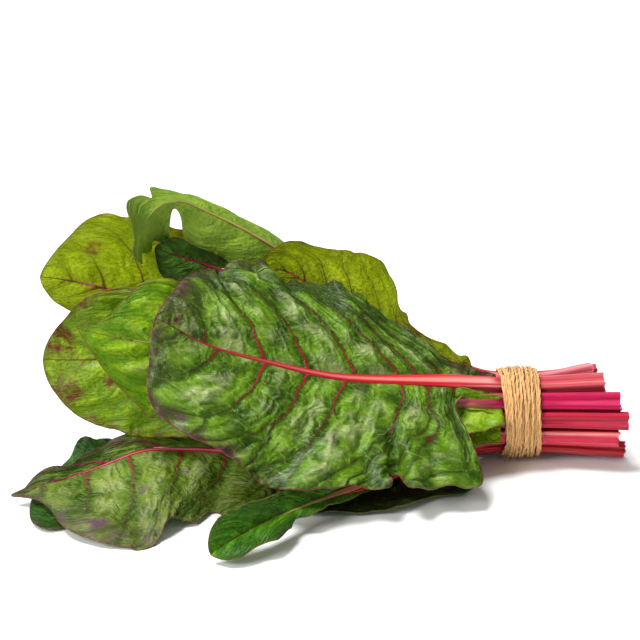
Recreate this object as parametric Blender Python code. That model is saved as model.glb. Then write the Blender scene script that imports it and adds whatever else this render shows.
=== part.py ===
"""A tied bunch of red-stalked Swiss chard, lying on a flat surface.

Every leaf is a long red stalk, which runs on as the midrib, and a green blade that is slit along that
midrib. The stalks lie side by side in a twine tie, and beyond it the blades fan out over each other.

The leaf tables below are in millimetres and degrees. +X runs along the bunch to the cut stalk ends, +Z is
up from the surface, and -Y is the side on which the large front blade lies. Directions across a blade are
angles about the midrib: 0 points to +Y, 90 up, 180 to -Y and 270 down.
"""

import math
from typing import NamedTuple

import bpy
import numpy as np
from mathutils.geometry import convex_hull_2d

MM = 0.001  # metres in a millimetre
ORIGIN = np.array([7.7, -3.6, 0.1])  # the middle of the bunch's underside, in the leaf tables' frame

# The tie.
TIE_X = 134.0  # middle of the twine winding
TIE_WIDTH = 31.0  # length of the winding along the stalks
TIE_THICKNESS = 3.2  # two layers of twine
TIE_CLEARANCE = 0.5  # between the winding and the stalks in it
TIE_CENTRE = np.array([24.0, 30.0])  # y and z of the middle of the stalks in the tie
STRAIGHT_RUN = 21.0  # the stalks are straight this far to each side of TIE_X

# The knot at the back of the tie and its two cut ends: half sizes, place off the back, tilt in degrees.
KNOT = (
    ("knot", (5.0, 3.0, 4.0), (-2.0, 0.6, 0.0), (0, 0, 0)),
    ("upper_end", (1.5, 1.4, 9.0), (2.0, 1.2, 8.0), (4, 22, 0)),
    ("lower_end", (1.5, 1.4, 8.0), (-8.0, 1.2, -7.0), (-4, 48, 0)),
)

# The leaves.
BLADE_THICKNESS = 1.4  # the crinkled depth of a blade, not its bare tissue
RIB_CLEARANCE = 0.5  # between a midrib and the edge of the slit that it lies in
RIB_END = 0.78  # share of the blade's length at which the midrib has sunk into the blade
RIB_TIP = (1.8, 1.6)  # width and depth of the midrib there
TIP_START = 0.86  # share of the blade's length at which its tip begins to round off
MARGIN_WIDTH = 1.6  # least width of blade beside the midrib
LOBE_END = 0.22  # share of the blade's length over which the base reaches back
LOBES = 2.6  # swellings of the outline along each margin
LOBE_DEPTH = 0.045  # their height as a share of the half width

# Mesh fineness.
ROUTE_SAMPLES = 240
STALK_RINGS = 8
RIB_SIDES = 8
BLADE_ROWS = 17
HALF_COLUMNS = 5
TIE_SIDES = 48


class Station(NamedTuple):
    """One place along a midrib, with the two halves of the blade there."""

    x: float
    y: float
    z: float
    far_width: float  # from the midrib to the margin, along the blade
    far_angle: float  # direction in which that half leaves the midrib
    far_curl: float  # how far that direction turns on the way to the margin
    near_width: float
    near_angle: float
    near_curl: float


class Leaf(NamedTuple):
    """One chard leaf, from its cut end to the tip of its blade."""

    name: str
    butt: tuple  # middle of the cut end
    tie: tuple  # y and z of the stalk where it passes through the tie
    stalk: tuple  # width and depth of the stalk in the tie
    roll: float  # direction in which the stalk's broad face looks in the tie
    waypoints: tuple  # points between the tie and the blade
    blade: tuple  # Stations from the blade's base to its tip
    reach_back: tuple = (0.0, 0.0)  # how far the base's far and near lobes reach towards the tie
    ruffle: float = 4.0  # height of the waves at the margin
    waves: float = 3.0  # number of waves along each margin
    phase: float = 0.0  # shifts the waves and lobes, in turns


LEAVES = (
    Leaf(
        "front", (191, 15, 54.5), (15, 52.5), (13, 10), 110, (),
        (
            Station(98, 11, 55.4, 5, 60, 0, 7, 198, 0),
            Station(86, 8, 57.5, 16, 60, -20, 66, 203, 17),
            Station(55, 2, 61, 48, 60, -40, 82, 199, 17),
            Station(10, -8, 68, 81, 58, -52, 85, 203, 18),
            Station(-35, -18, 83, 82, 56, -54, 82, 209, 20),
            Station(-75, -25, 99, 70, 54, -48, 62, 217, 16),
            Station(-98, -26, 113, 56, 54, -40, 38, 228, 12),
            Station(-104, -26, 116, 40, 54, -40, 26, 230, 12),
        ),
        reach_back=(0, 22), ruffle=4.0, waves=3.4, phase=0.1,
    ),
    Leaf(
        "folded_middle", (200, 1, 46), (3.5, 45), (12, 10.5), 140, (),
        (
            Station(90, 3, 45, 4, 75, 0, 5, 240, 0),
            Station(60, 0, 48, 7, 70, 0, 13, 240, 0),
            Station(15, -1, 56, 15, 66, 0, 26, 242, 0),
            Station(-35, -5, 71, 23, 66, -10, 36, 246, 0),
            Station(-75, -11, 85, 31, 67, -10, 42, 250, 0),
            Station(-104, -14, 94, 32, 68, -5, 42, 251, 0),
            Station(-130, -16, 99, 24, 70, 0, 26, 252, 0),
            Station(-155, -16, 106, 9, 72, 0, 10, 252, 0),
        ),
        ruffle=2.0, waves=2.4, phase=0.35,
    ),
    Leaf(
        "left_middle", (205, -6, 35.5), (-1.5, 34.5), (11.2, 10.5), 168, (),
        (
            Station(88, 3, 34, 4, 75, 0, 4, 238, 0),
            Station(60, 6, 35, 7, 72, 0, 8, 236, 0),
            Station(10, 9, 44, 18, 70, 0, 17, 236, 0),
            Station(-40, 5, 60, 32, 74, 0, 36, 236, 0),
            Station(-85, 1, 74, 43, 73, 0, 53, 236, 0),
            Station(-120, 0, 79, 47, 72, 0, 50, 237, 0),
            Station(-155, 0, 77, 38, 72, 0, 41, 238, 0),
            Station(-176, 0, 77, 22, 72, 0, 25, 238, 0),
            Station(-182, 0, 77, 14, 72, 0, 18, 238, 0),
        ),
        ruffle=2.5, waves=2.8, phase=0.6,
    ),
    Leaf(
        "upper_left", (188, 20, 22.5), (19.5, 22.5), (16.5, 13.5), 62,
        ((75, 30, 38),),
        (
            Station(20, 37, 56, 5, 62, 0, 8, 245, 0),
            Station(-20, 40, 69, 10, 62, 0, 24, 245, 0),
            Station(-58, 42, 82, 16, 64, 0, 30, 246, 0),
            Station(-78, 43, 87, 37, 66, 0, 32, 247, 0),
            Station(-95, 44, 93, 56, 67, 0, 31, 247, 0),
            Station(-124, 45, 103, 53, 68, 0, 28, 248, 0),
            Station(-155, 45, 113, 48, 68, 0, 22, 248, 0),
            Station(-180, 45, 118, 28, 68, 0, 20, 248, 0),
            Station(-189, 45, 119, 18, 68, 0, 16, 248, 0),
        ),
        ruffle=2.5, waves=2.6, phase=0.8,
    ),
    Leaf(
        "inner_dark", (195, 28, 37), (27, 36.5), (16.5, 13.5), 62,
        ((65, 37, 57),),
        (
            Station(5, 46, 76, 5, 58, 0, 10, 215, 0),
            Station(-30, 53, 102, 4, 58, 0, 14, 215, 0),
            Station(-60, 52, 124, 14, 62, 0, 20, 218, 0),
            Station(-85, 46, 134, 14, 66, 0, 20, 224, 0),
            Station(-104, 42, 142, 12, 70, 0, 16, 230, 0),
            Station(-110, 41, 144, 8, 70, 0, 10, 230, 0),
        ),
        ruffle=1.5, waves=1.5, phase=0.2,
    ),
    Leaf(
        "upper_right", (186, 32, 55), (30, 52.5), (12, 10.5), 76,
        ((92, 38, 57),),
        (
            Station(62, 50, 70.5, 4, 46, 0, 5, 215, 0),
            Station(50, 54, 76.5, 14, 46, 0, 9, 213, 0),
            Station(42, 56.5, 80.5, 28, 45, 0, 10, 213, 0),
            Station(30, 60, 86, 37, 46, 0, 11, 213, 0),
            Station(0, 66, 100, 37, 49, -10, 17, 212, 0),
            Station(-22, 68, 114, 24, 52, -10, 13, 212, 0),
            Station(-43, 64, 121, 10, 58, -10, 9, 205, 0),
        ),
        reach_back=(10, 0), ruffle=2.0, waves=1.8, phase=0.45,
    ),
    Leaf(
        "arched_top", (192, 49, 47), (43.5, 44.5), (12, 10.5), 39,
        ((82, 64, 60), (52, 79, 73)),
        (
            Station(22, 91, 98, 6, -40, 0, 6, 215, 0),
            Station(-20, 88, 126, 42, -45, 0, 18, 220, 0),
            Station(-52, 77, 151, 44, -45, 0, 34, 223, 0),
            Station(-76, 69, 166, 36, -42, 0, 30, 220, 0),
            Station(-96, 59, 175, 18, -38, 0, 17, 222, 0),
            Station(-110, 45, 171, 9, -28, 0, 20, 240, 0),
            Station(-118, 33, 158, 9, 0, 0, 23, 250, 0),
            Station(-119, 25, 141, 8, 30, 0, 15, 258, 0),
        ),
        ruffle=1.5, waves=2.0, phase=0.15,
    ),
    Leaf(
        "ground_left", (199, -7, 24), (-1, 22.5), (11.2, 10.5), 195,
        ((60, -4, 22),),
        (
            Station(0, -11, 18, 5, 60, 0, 12, 200, 0),
            Station(-50, -16, 17, 10, 50, 0, 46, 190, 8),
            Station(-85, -20, 21, 15, 50, 0, 60, 188, 14),
            Station(-115, -28, 24, 15, 52, 0, 74, 187, 14),
            Station(-142, -38, 18, 12, 55, 0, 80, 186, 8),
            Station(-165, -47, 13, 10, 50, 0, 64, 184, 4),
            Station(-180, -52, 11, 8, 45, 0, 40, 184, 4),
            Station(-190, -55, 7, 5, 40, 0, 12, 190, 0),
        ),
        ruffle=2.5, waves=3.0, phase=0.7,
    ),
    Leaf(
        "ground_left_under", (194, 41, 9), (37.5, 11.5), (12, 10.5), 125,
        ((60, 22, 8),),
        (
            Station(0, -2, 6.5, 6, 10, 0, 6, 180, 0),
            Station(-60, -30, 5, 26, 14, 0, 12, 182, 0),
            Station(-110, -50, 4, 46, 18, 0, 18, 181, 0),
            Station(-145, -55, 3.5, 54, 21, 4, 24, 181, 0),
            Station(-170, -54, 3.5, 49, 20, 4, 37, 181, 0),
            Station(-184, -50, 3.5, 32, 16, 0, 18, 181, 0),
        ),
        ruffle=1.0, waves=2.2, phase=0.3,
    ),
    Leaf(
        "ground_curled", (206, 6, 9), (9, 11), (12, 10.5), 53,
        ((92, -2, 12), (60, -25, 13)),
        (
            Station(29, -52, 12, 4, 60, 0, 4, 205, 0),
            Station(0, -76, 13, 8, 60, 0, 8, 205, 0),
            Station(-20, -94, 14, 13, 58, 0, 12, 208, 0),
            Station(-37, -110, 14, 20, 58, 0, 13, 210, 0),
            Station(-52, -121, 11, 20, 60, 0, 14, 213, 0),
            Station(-65, -129, 6, 14, 65, 0, 10, 215, 0),
        ),
        ruffle=1.5, waves=1.5, phase=0.0,
    ),
    Leaf(
        "ground_under", (190, 24, 7.5), (23.5, 9), (12, 10.5), 89,
        (),
        (
            Station(88, 15, 6, 4, 0, 0, 6, 183, 0),
            Station(76, 7, 5, 8, 0, 0, 44, 183, 0),
            Station(45, -12, 4.5, 12, 0, 0, 50, 183, 0),
            Station(10, -28, 4.5, 14, 0, 0, 50, 183, 0),
            Station(-25, -42, 4, 12, 0, 0, 34, 182, 0),
            Station(-52, -52, 4, 8, 0, 0, 16, 182, 0),
        ),
        ruffle=0.8, waves=2.5, phase=0.5,
    ),
    Leaf(
        "back_lower", (187, 52, 20), (46.5, 21), (12, 10.5), -23, (),
        (
            Station(90, 54, 19, 4, -10, 0, 4, 165, 0),
            Station(55, 66, 16, 26, -10, 0, 20, 166, 0),
            Station(0, 80, 13, 40, -13, 0, 36, 167, 0),
            Station(-60, 84, 10, 40, -11, 0, 40, 168, 0),
            Station(-100, 78, 8, 34, -8, 0, 34, 170, 0),
            Station(-130, 70, 6, 22, -3, 0, 22, 172, 0),
        ),
        ruffle=2.0, waves=2.6, phase=0.9,
    ),
    Leaf(
        "back_upper", (194, 56, 34), (49.5, 33.5), (12, 10.5), 8, (),
        (
            Station(97, 58, 36, 4, -50, 0, 4, 110, 0),
            Station(80, 64, 39, 20, -50, 0, 13, 95, 0),
            Station(45, 76, 50, 38, -52, 0, 22, 120, 0),
            Station(0, 84, 60, 46, -54, 0, 24, 124, 0),
            Station(-50, 85, 64, 46, -55, 0, 34, 122, 0),
            Station(-95, 80, 62, 38, -55, 0, 34, 120, 0),
            Station(-130, 74, 56, 24, -52, 0, 22, 118, 0),
        ),
        ruffle=2.0, waves=2.4, phase=0.55,
    ),
)


def smooth(knots, values, at):
    """Values at the parameters `at` of a curve that passes smoothly through `values` at `knots`."""
    knots = np.asarray(knots, float)
    values = np.asarray(values, float)
    steps = np.diff(knots)
    rises = np.diff(values, axis=0) / steps[:, None]
    slopes = np.empty_like(values)
    slopes[0], slopes[-1] = rises[0], rises[-1]
    before, after = steps[:-1, None], steps[1:, None]
    slopes[1:-1] = (rises[:-1] * after + rises[1:] * before) / (before + after)
    at = np.asarray(at, float)
    span = np.clip(np.searchsorted(knots, at, side="right") - 1, 0, len(steps) - 1)
    width = steps[span][:, None]
    t = (at - knots[span])[:, None] / width
    start, end = values[span], values[span + 1]
    leave, arrive = slopes[span] * width, slopes[span + 1] * width
    return (
        start * (1 + 2 * t) * (1 - t) ** 2
        + leave * t * (1 - t) ** 2
        + end * t**2 * (3 - 2 * t)
        + arrive * t**2 * (t - 1)
    )


def chord_lengths(points):
    """Distance travelled along a row of points, starting at 0."""
    return np.concatenate([[0.0], np.cumsum(np.linalg.norm(np.diff(points, axis=0), axis=1))])


def unit(vectors):
    """The vectors at length 1."""
    return vectors / np.linalg.norm(vectors, axis=-1, keepdims=True)


class Route:
    """The line of a leaf from its cut end to its tip, with a frame that doesn't twist about it."""

    def __init__(self, leaf):
        straight = [(TIE_X + step * STRAIGHT_RUN, *leaf.tie) for step in (1, 0.8, -0.8, -1)]
        base = [station[:3] for station in leaf.blade]
        points = np.array([leaf.butt, *straight, *leaf.waypoints, *base], float)
        knots = chord_lengths(points)
        share = np.linspace(0, 1, ROUTE_SAMPLES)
        line = smooth(knots, points, share * knots[-1])
        # Even steps along the line itself make its parameter a true length.
        length = chord_lengths(line)
        self.knots = np.interp(knots, share * knots[-1], length)
        self.lengths = np.linspace(0, length[-1], ROUTE_SAMPLES)
        self.points = np.stack([np.interp(self.lengths, length, line[:, k]) for k in range(3)], 1)
        self.tangents = unit(np.gradient(self.points, axis=0))
        self.blade_start = self.knots[-len(leaf.blade)]
        self.blade_knots = self.knots[-len(leaf.blade):]
        self.end = length[-1]
        self.across = self._carried(np.array([0.0, 1.0, 0.0]))
        self.up = np.cross(self.across, self.tangents)

    def _carried(self, first):
        """A direction square to the line, carried along it without twisting."""
        carried = []
        for tangent in self.tangents:
            first = unit(first - tangent * (first @ tangent))
            carried.append(first)
        return np.array(carried)

    def at(self, lengths, values):
        """One of the route's arrays, read at distances from the cut end."""
        return np.stack([np.interp(lengths, self.lengths, values[:, k]) for k in range(3)], -1)

    def direction(self, lengths, degrees):
        """The direction square to the line at that angle about it, at each distance."""
        angle = np.radians(degrees)[..., None]
        return self.at(lengths, self.across) * np.cos(angle) + self.at(lengths, self.up) * np.sin(angle)


def rounding(share):
    """How the end of the blade is rounded off: 1 up to TIP_START, and 0 at the tip."""
    tip = np.clip((share - TIP_START) / (1 - TIP_START), 0, 1)
    return np.sqrt(1 - tip**2)


def rib_size(leaf, share):
    """Width and depth of the midrib at a share of the blade's length."""
    thin = np.clip(share / RIB_END, 0, 1)[..., None] ** 0.8
    return np.array(leaf.stalk) * 0.72 * (1 - thin) + np.array(RIB_TIP) * thin


def half_blade(leaf, route, side, rows, columns):
    """Points and upper-face normals of one half of the blade, as arrays of rows by columns.

    `rows` are shares of the blade's length and `columns` shares of the way from the slit to the margin.
    """
    table = np.array(leaf.blade, float)[:, 3:6] if side > 0 else np.array(leaf.blade, float)[:, 6:9]
    lengths = route.blade_start + rows * (route.end - route.blade_start)
    width, angle, curl = smooth(route.blade_knots, table, lengths).T
    turn = 2 * math.pi * (leaf.phase + 0.37 * side)
    lobes = 1 + LOBE_DEPTH * np.sin(2 * math.pi * LOBES * rows + turn)
    slit = np.where(rows < RIB_END, rib_size(leaf, rows)[:, 0] / 2 + RIB_CLEARANCE, 0.0)
    width = np.maximum(width * rounding(rows) * lobes, slit + MARGIN_WIDTH)
    reach = slit[:, None] + (width - slit)[:, None] * columns[None, :]

    bend = np.radians(curl)[:, None] * reach / width[:, None]
    rate = np.radians(curl)[:, None] / width[:, None]
    rate = np.where(np.abs(rate) < 1e-7, 1e-7, rate)
    along = np.sin(rate * reach) / rate
    aside = (1 - np.cos(rate * reach)) / rate
    outward = route.direction(lengths, angle)[:, None, :]
    sideways = route.direction(lengths, angle + 90)[:, None, :]
    points = route.at(lengths, route.points)[:, None, :]
    points = points + outward * along[..., None] + sideways * aside[..., None]
    normals = side * (sideways * np.cos(bend)[..., None] - outward * np.sin(bend)[..., None])
    back = leaf.reach_back[0 if side > 0 else 1] * width / width.max()
    back = (back * np.clip(1 - rows / LOBE_END, 0, 1))[:, None] * columns[None, :] ** 1.5
    points = points - route.at(lengths, route.tangents)[:, None, :] * back[..., None]

    fade = np.sin(math.pi * np.clip(rows, 0, 1))[:, None] ** 0.5
    wave = np.sin(2 * math.pi * leaf.waves * rows + 1.7 * turn)[:, None]
    lift = leaf.ruffle * columns[None, :] ** 2 * fade * wave
    return points + normals * lift[..., None], normals


def blade_rows():
    """Shares of a blade's length at which its cross rows stand, closer together near the tip."""
    return np.linspace(0, 1, BLADE_ROWS) ** 0.92


def blade_object(leaf, route):
    """The blade: two halves that meet beyond the end of the midrib, thickened to a closed solid."""
    rows = blade_rows()
    columns = np.linspace(0, 1, HALF_COLUMNS) ** 0.9
    joined = rows >= RIB_END
    sheets = []
    for face in (1, -1):
        grid = []
        for side in (1, -1):
            points, normals = half_blade(leaf, route, side, rows, columns)
            grid.append(points + normals * face * BLADE_THICKNESS / 2)
        # Beyond the slit the two inner edges are one line of points.
        middle = (grid[0][:, 0] + grid[1][:, 0]) / 2
        for half in grid:
            half[joined, 0] = middle[joined]
        sheets.append(grid)
    return solid_from_sheets("blade_" + leaf.name, sheets, joined)


def solid_from_sheets(name, sheets, joined):
    """A mesh object from the upper and lower sheets of two half blades, walled along every edge."""
    vertices, index = [], {}

    def vertex(face, half, row, column):
        if column == 0 and joined[row]:
            half = 0
        key = (face, half, row, column)
        if key not in index:
            index[key] = len(vertices)
            vertices.append(sheets[face][half][row, column])
        return index[key]

    last_row, last_column = len(joined) - 1, sheets[0][0].shape[1] - 1
    quads = []
    for half in (0, 1):
        for row in range(last_row):
            for column in range(last_column):
                ring = [(row, column), (row, column + 1), (row + 1, column + 1), (row + 1, column)]
                for face in (0, 1):
                    quad = [vertex(face, half, *place) for place in ring]
                    quads.append(quad if half == face else quad[::-1])
        edges = [((row, last_column), (row + 1, last_column)) for row in range(last_row)]
        edges += [((last_row, column + 1), (last_row, column)) for column in range(last_column)]
        edges += [((0, column), (0, column + 1)) for column in range(last_column)]
        edges += [
            ((row + 1, 0), (row, 0))
            for row in range(last_row)
            if not (joined[row] and joined[row + 1])
        ]
        for start, end in edges:
            wall = [
                vertex(0, half, *start),
                vertex(1, half, *start),
                vertex(1, half, *end),
                vertex(0, half, *end),
            ]
            quads.append(wall if half == 0 else wall[::-1])
    return mesh_object(name, vertices, quads, blade_material())


def stalk_object(leaf, route):
    """The stalk and midrib: one oval rod from the cut end that thins out inside the blade's slit."""
    bare = np.linspace(0, route.blade_start, STALK_RINGS, endpoint=False)
    rows = blade_rows()
    rib = rows[rows < RIB_END]
    lengths = np.concatenate([bare, route.blade_start + rib * (route.end - route.blade_start)])
    share = np.clip((lengths - route.blade_start) / (route.end - route.blade_start), 0, 1)
    on_stalk = np.clip((lengths - route.knots[4]) / max(route.blade_start - route.knots[4], 1.0), 0, 1)
    size = np.array(leaf.stalk) * (1 - on_stalk[:, None]) + rib_size(leaf, share) * on_stalk[:, None]

    first = leaf.blade[0]
    blade_roll = (first.far_angle + first.near_angle) / 2
    roll = leaf.roll + (blade_roll - leaf.roll) * on_stalk
    face = route.direction(lengths, roll)
    side = route.direction(lengths, roll + 90)
    turns = 2 * math.pi * (np.arange(RIB_SIDES) + 0.5) / RIB_SIDES
    centre = route.at(lengths, route.points)
    vertices = [
        centre[i] + side[i] * size[i, 0] / 2 * math.cos(turn) + face[i] * size[i, 1] / 2 * math.sin(turn)
        for i in range(len(lengths))
        for turn in turns
    ]
    faces = [list(reversed(range(RIB_SIDES)))]
    for ring in range(len(lengths) - 1):
        for k in range(RIB_SIDES):
            a, b = ring * RIB_SIDES + k, ring * RIB_SIDES + (k + 1) % RIB_SIDES
            faces.append([a, b, b + RIB_SIDES, a + RIB_SIDES])
    faces.append([(len(lengths) - 1) * RIB_SIDES + k for k in range(RIB_SIDES)])
    return mesh_object("stalk_" + leaf.name, vertices, faces, stalk_material())


def tie_profile(offset):
    """Radii of the winding about the middle of the stalks, at TIE_SIDES angles, `offset` off the stalks.

    The winding is pulled tight, so it runs straight from one outer stalk to the next.
    """
    turn = np.radians(np.arange(0, 360, 10))
    circle = np.stack([np.cos(turn), np.sin(turn)], 1)
    points = []
    for leaf in LEAVES:
        face = math.radians(leaf.roll)
        out = np.array([math.cos(face), math.sin(face)])
        side = np.array([-out[1], out[0]])
        section = circle[:, :1] * side * leaf.stalk[0] / 2 + circle[:, 1:] * out * leaf.stalk[1] / 2
        points.append((np.array(leaf.tie) + section)[:, None, :] + circle[None, :, :] * offset)
    points = np.concatenate([block.reshape(-1, 2) for block in points]) - TIE_CENTRE
    corners = points[convex_hull_2d([tuple(p) for p in points])]
    share = np.linspace(0, 1, 12, endpoint=False)[:, None]
    following = np.roll(corners, -1, axis=0)
    line = np.concatenate([a + (b - a) * share for a, b in zip(corners, following)])
    angle = np.arctan2(line[:, 1], line[:, 0])
    order = np.argsort(angle)
    at = np.linspace(-math.pi, math.pi, TIE_SIDES, endpoint=False)
    radius = np.linalg.norm(line, axis=1)[order]
    return at, np.interp(at, angle[order], radius, period=2 * math.pi)


def tie_object():
    """The twine: a flat band of windings, with its knot and two cut ends at the back."""
    half = TIE_WIDTH / 2
    outer = TIE_CLEARANCE + TIE_THICKNESS
    edge = TIE_CLEARANCE + TIE_THICKNESS * 0.6
    profile = [(-half, TIE_CLEARANCE), (half, TIE_CLEARANCE), (half, edge)]
    profile += [(half - 1.5, outer), (1.5 - half, outer), (-half, edge)]
    vertices = []
    for along, offset in profile:
        angles, radii = tie_profile(offset)
        for angle, radius in zip(angles, radii):
            y = TIE_CENTRE[0] + radius * math.cos(angle)
            z = TIE_CENTRE[1] + radius * math.sin(angle)
            vertices.append(np.array([TIE_X + along, y, z]))
    faces = []
    for ring in range(len(profile)):
        after = (ring + 1) % len(profile)
        for k in range(TIE_SIDES):
            m = (k + 1) % TIE_SIDES
            quad = [(ring, k), (ring, m), (after, m), (after, k)]
            faces.append([loop * TIE_SIDES + corner for loop, corner in quad])
    tie = mesh_object("twine_tie", vertices, faces, twine_material())
    back = TIE_CENTRE[0] + tie_profile(outer)[1][TIE_SIDES // 2]
    for name, size, place, tilt in KNOT:
        centre = (TIE_X + place[0], back + place[1], TIE_CENTRE[1] + place[2])
        join_ellipsoid(tie, name, size, centre, tilt)
    return tie


def join_ellipsoid(target, name, size, centre, tilt):
    """Fuses a long round lump into the target and removes the lump's own object."""
    place = (np.array(centre) - ORIGIN) * MM
    bpy.ops.mesh.primitive_uv_sphere_add(segments=10, ring_count=7, radius=MM, location=place)
    lump = bpy.context.active_object
    lump.name = name
    lump.scale = size
    lump.rotation_euler = [math.radians(a) for a in tilt]
    bpy.context.view_layer.update()
    join = target.modifiers.new(name, "BOOLEAN")
    join.operation = "UNION"
    join.solver = "EXACT"
    join.object = lump
    with bpy.context.temp_override(object=target, active_object=target):
        bpy.ops.object.modifier_apply(modifier=name)
    bpy.data.objects.remove(lump)


def mesh_object(name, vertices, faces, material):
    """A linked mesh object with one material and smooth shading, from points in the tables' frame."""
    mesh = bpy.data.meshes.new(name)
    mesh.from_pydata([tuple((v - ORIGIN) * MM) for v in vertices], [], faces)
    mesh.materials.append(material)
    mesh.shade_smooth()
    mesh.set_sharp_from_angle(angle=math.radians(50))
    made = bpy.data.objects.new(name, mesh)
    bpy.context.scene.collection.objects.link(made)
    return made


def material(name, colour, roughness):
    """A plain dielectric material, made once."""
    found = bpy.data.materials.get(name)
    if found:
        return found
    made = bpy.data.materials.new(name)
    made.use_nodes = True
    shader = made.node_tree.nodes["Principled BSDF"]
    shader.inputs["Base Color"].default_value = (*colour, 1)
    shader.inputs["Roughness"].default_value = roughness
    shader.inputs["Metallic"].default_value = 0.0
    return made


def blade_material():
    return material("chard_blade", (0.06, 0.19, 0.02), 0.38)


def stalk_material():
    return material("chard_stalk", (0.55, 0.03, 0.08), 0.35)


def twine_material():
    return material("jute_twine", (0.52, 0.33, 0.14), 0.9)


def main():
    """Builds every node of the bunch."""
    for old in list(bpy.data.objects):
        bpy.data.objects.remove(old)
    for leaf in LEAVES:
        route = Route(leaf)
        blade_object(leaf, route)
        stalk_object(leaf, route)
    tie_object()


if __name__ == "__main__":
    main()
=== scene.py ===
"""The looks of a tied bunch of red-stalked Swiss chard that lies on a pale floor.

Every blade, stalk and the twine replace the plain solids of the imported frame, on the same lines. The leaf
tables are in millimetres and degrees, in the frame that the solids were drawn in: +X runs along the bunch
to the cut stalk ends, +Z is up, and -Y is the side of the large front leaf. Directions across a blade are
angles about its midrib: 0 points to +Y, 90 up, 180 to -Y and 270 down.
"""

import logging
import math
from dataclasses import dataclass, field
from enum import Enum

import bmesh
import bpy
import numpy as np
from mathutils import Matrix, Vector
from mathutils.geometry import convex_hull_2d


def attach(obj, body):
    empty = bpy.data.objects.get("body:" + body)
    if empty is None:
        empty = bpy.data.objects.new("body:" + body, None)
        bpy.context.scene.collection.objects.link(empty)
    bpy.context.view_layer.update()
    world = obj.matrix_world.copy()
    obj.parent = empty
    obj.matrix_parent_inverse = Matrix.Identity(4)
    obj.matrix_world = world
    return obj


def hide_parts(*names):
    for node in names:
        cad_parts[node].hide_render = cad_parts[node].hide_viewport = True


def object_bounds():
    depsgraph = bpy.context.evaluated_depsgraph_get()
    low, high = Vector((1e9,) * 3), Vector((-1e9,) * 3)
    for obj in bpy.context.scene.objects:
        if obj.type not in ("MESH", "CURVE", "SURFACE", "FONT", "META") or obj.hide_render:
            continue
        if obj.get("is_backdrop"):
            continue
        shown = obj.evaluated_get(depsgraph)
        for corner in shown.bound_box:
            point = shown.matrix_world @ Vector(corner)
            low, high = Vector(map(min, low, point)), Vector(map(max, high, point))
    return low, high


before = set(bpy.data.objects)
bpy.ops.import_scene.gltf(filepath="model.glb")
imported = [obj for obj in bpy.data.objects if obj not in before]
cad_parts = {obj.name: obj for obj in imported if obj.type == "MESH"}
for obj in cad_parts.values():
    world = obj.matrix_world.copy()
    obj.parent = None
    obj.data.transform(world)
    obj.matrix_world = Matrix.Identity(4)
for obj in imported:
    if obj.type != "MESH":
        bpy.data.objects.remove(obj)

Array = np.ndarray
LOG = logging.getLogger("chard_bunch")

MM = 0.001  # metres in a millimetre
ORIGIN = np.array([7.7, -3.6, 0.1])  # the row frame's origin, in the leaf tables' frame
BODY = "root"


class Face(Enum):
    """The side of a blade that looks up or outward in its table."""

    UPPER = "upper"
    UNDER = "under"


def linear(colour: str) -> tuple[float, float, float, float]:
    """Turns an sRGB hex colour into linear RGBA.

    Args:
        colour: the colour as "#RRGGBB".

    Returns:
        Linear red, green and blue, and 1 for alpha.
    """
    parts = (int(colour[k : k + 2], 16) / 255 for k in (1, 3, 5))
    red, green, blue = (c / 12.92 if c <= 0.04045 else ((c + 0.055) / 1.055) ** 2.4 for c in parts)
    return red, green, blue, 1.0


def ramp(values: Array, start: float, end: float) -> Array:
    """Eases values from 0 at `start` to 1 at `end`.

    Args:
        values: the values to ease.
        start: where the result is 0.
        end: where the result is 1; it may be below start.

    Returns:
        The eased values.
    """
    share = np.clip((values - start) / (end - start), 0, 1)
    return share * share * (3 - 2 * share)


def unit(vectors: Array) -> Array:
    """Returns the vectors at length 1."""
    return vectors / np.maximum(np.linalg.norm(vectors, axis=-1, keepdims=True), 1e-12)


def chord_lengths(points: Array) -> Array:
    """Returns the distance travelled along a row of points, starting at 0."""
    return np.concatenate([[0.0], np.cumsum(np.linalg.norm(np.diff(points, axis=0), axis=1))])


def smooth(knots: Array, values: Array, at: Array) -> Array:
    """Reads a curve that passes smoothly through given values.

    Args:
        knots: parameters at which the values hold.
        values: one row of values for each knot.
        at: parameters to read the curve at.

    Returns:
        One row of values for each entry of `at`.
    """
    knots, values, at = (np.asarray(a, float) for a in (knots, values, at))
    steps = np.diff(knots)
    rises = np.diff(values, axis=0) / steps[:, None]
    slopes = np.empty_like(values)
    slopes[0], slopes[-1] = rises[0], rises[-1]
    before, after = steps[:-1, None], steps[1:, None]
    slopes[1:-1] = (rises[:-1] * after + rises[1:] * before) / (before + after)
    span = np.clip(np.searchsorted(knots, at, side="right") - 1, 0, len(steps) - 1)
    width = steps[span][:, None]
    t = (at - knots[span])[:, None] / width
    leave, arrive = slopes[span] * width, slopes[span + 1] * width
    start, end = values[span], values[span + 1]
    rising = t**2 * (3 - 2 * t)
    return start * (1 - rising) + end * rising + leave * t * (1 - t) ** 2 + arrive * t**2 * (t - 1)


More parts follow.
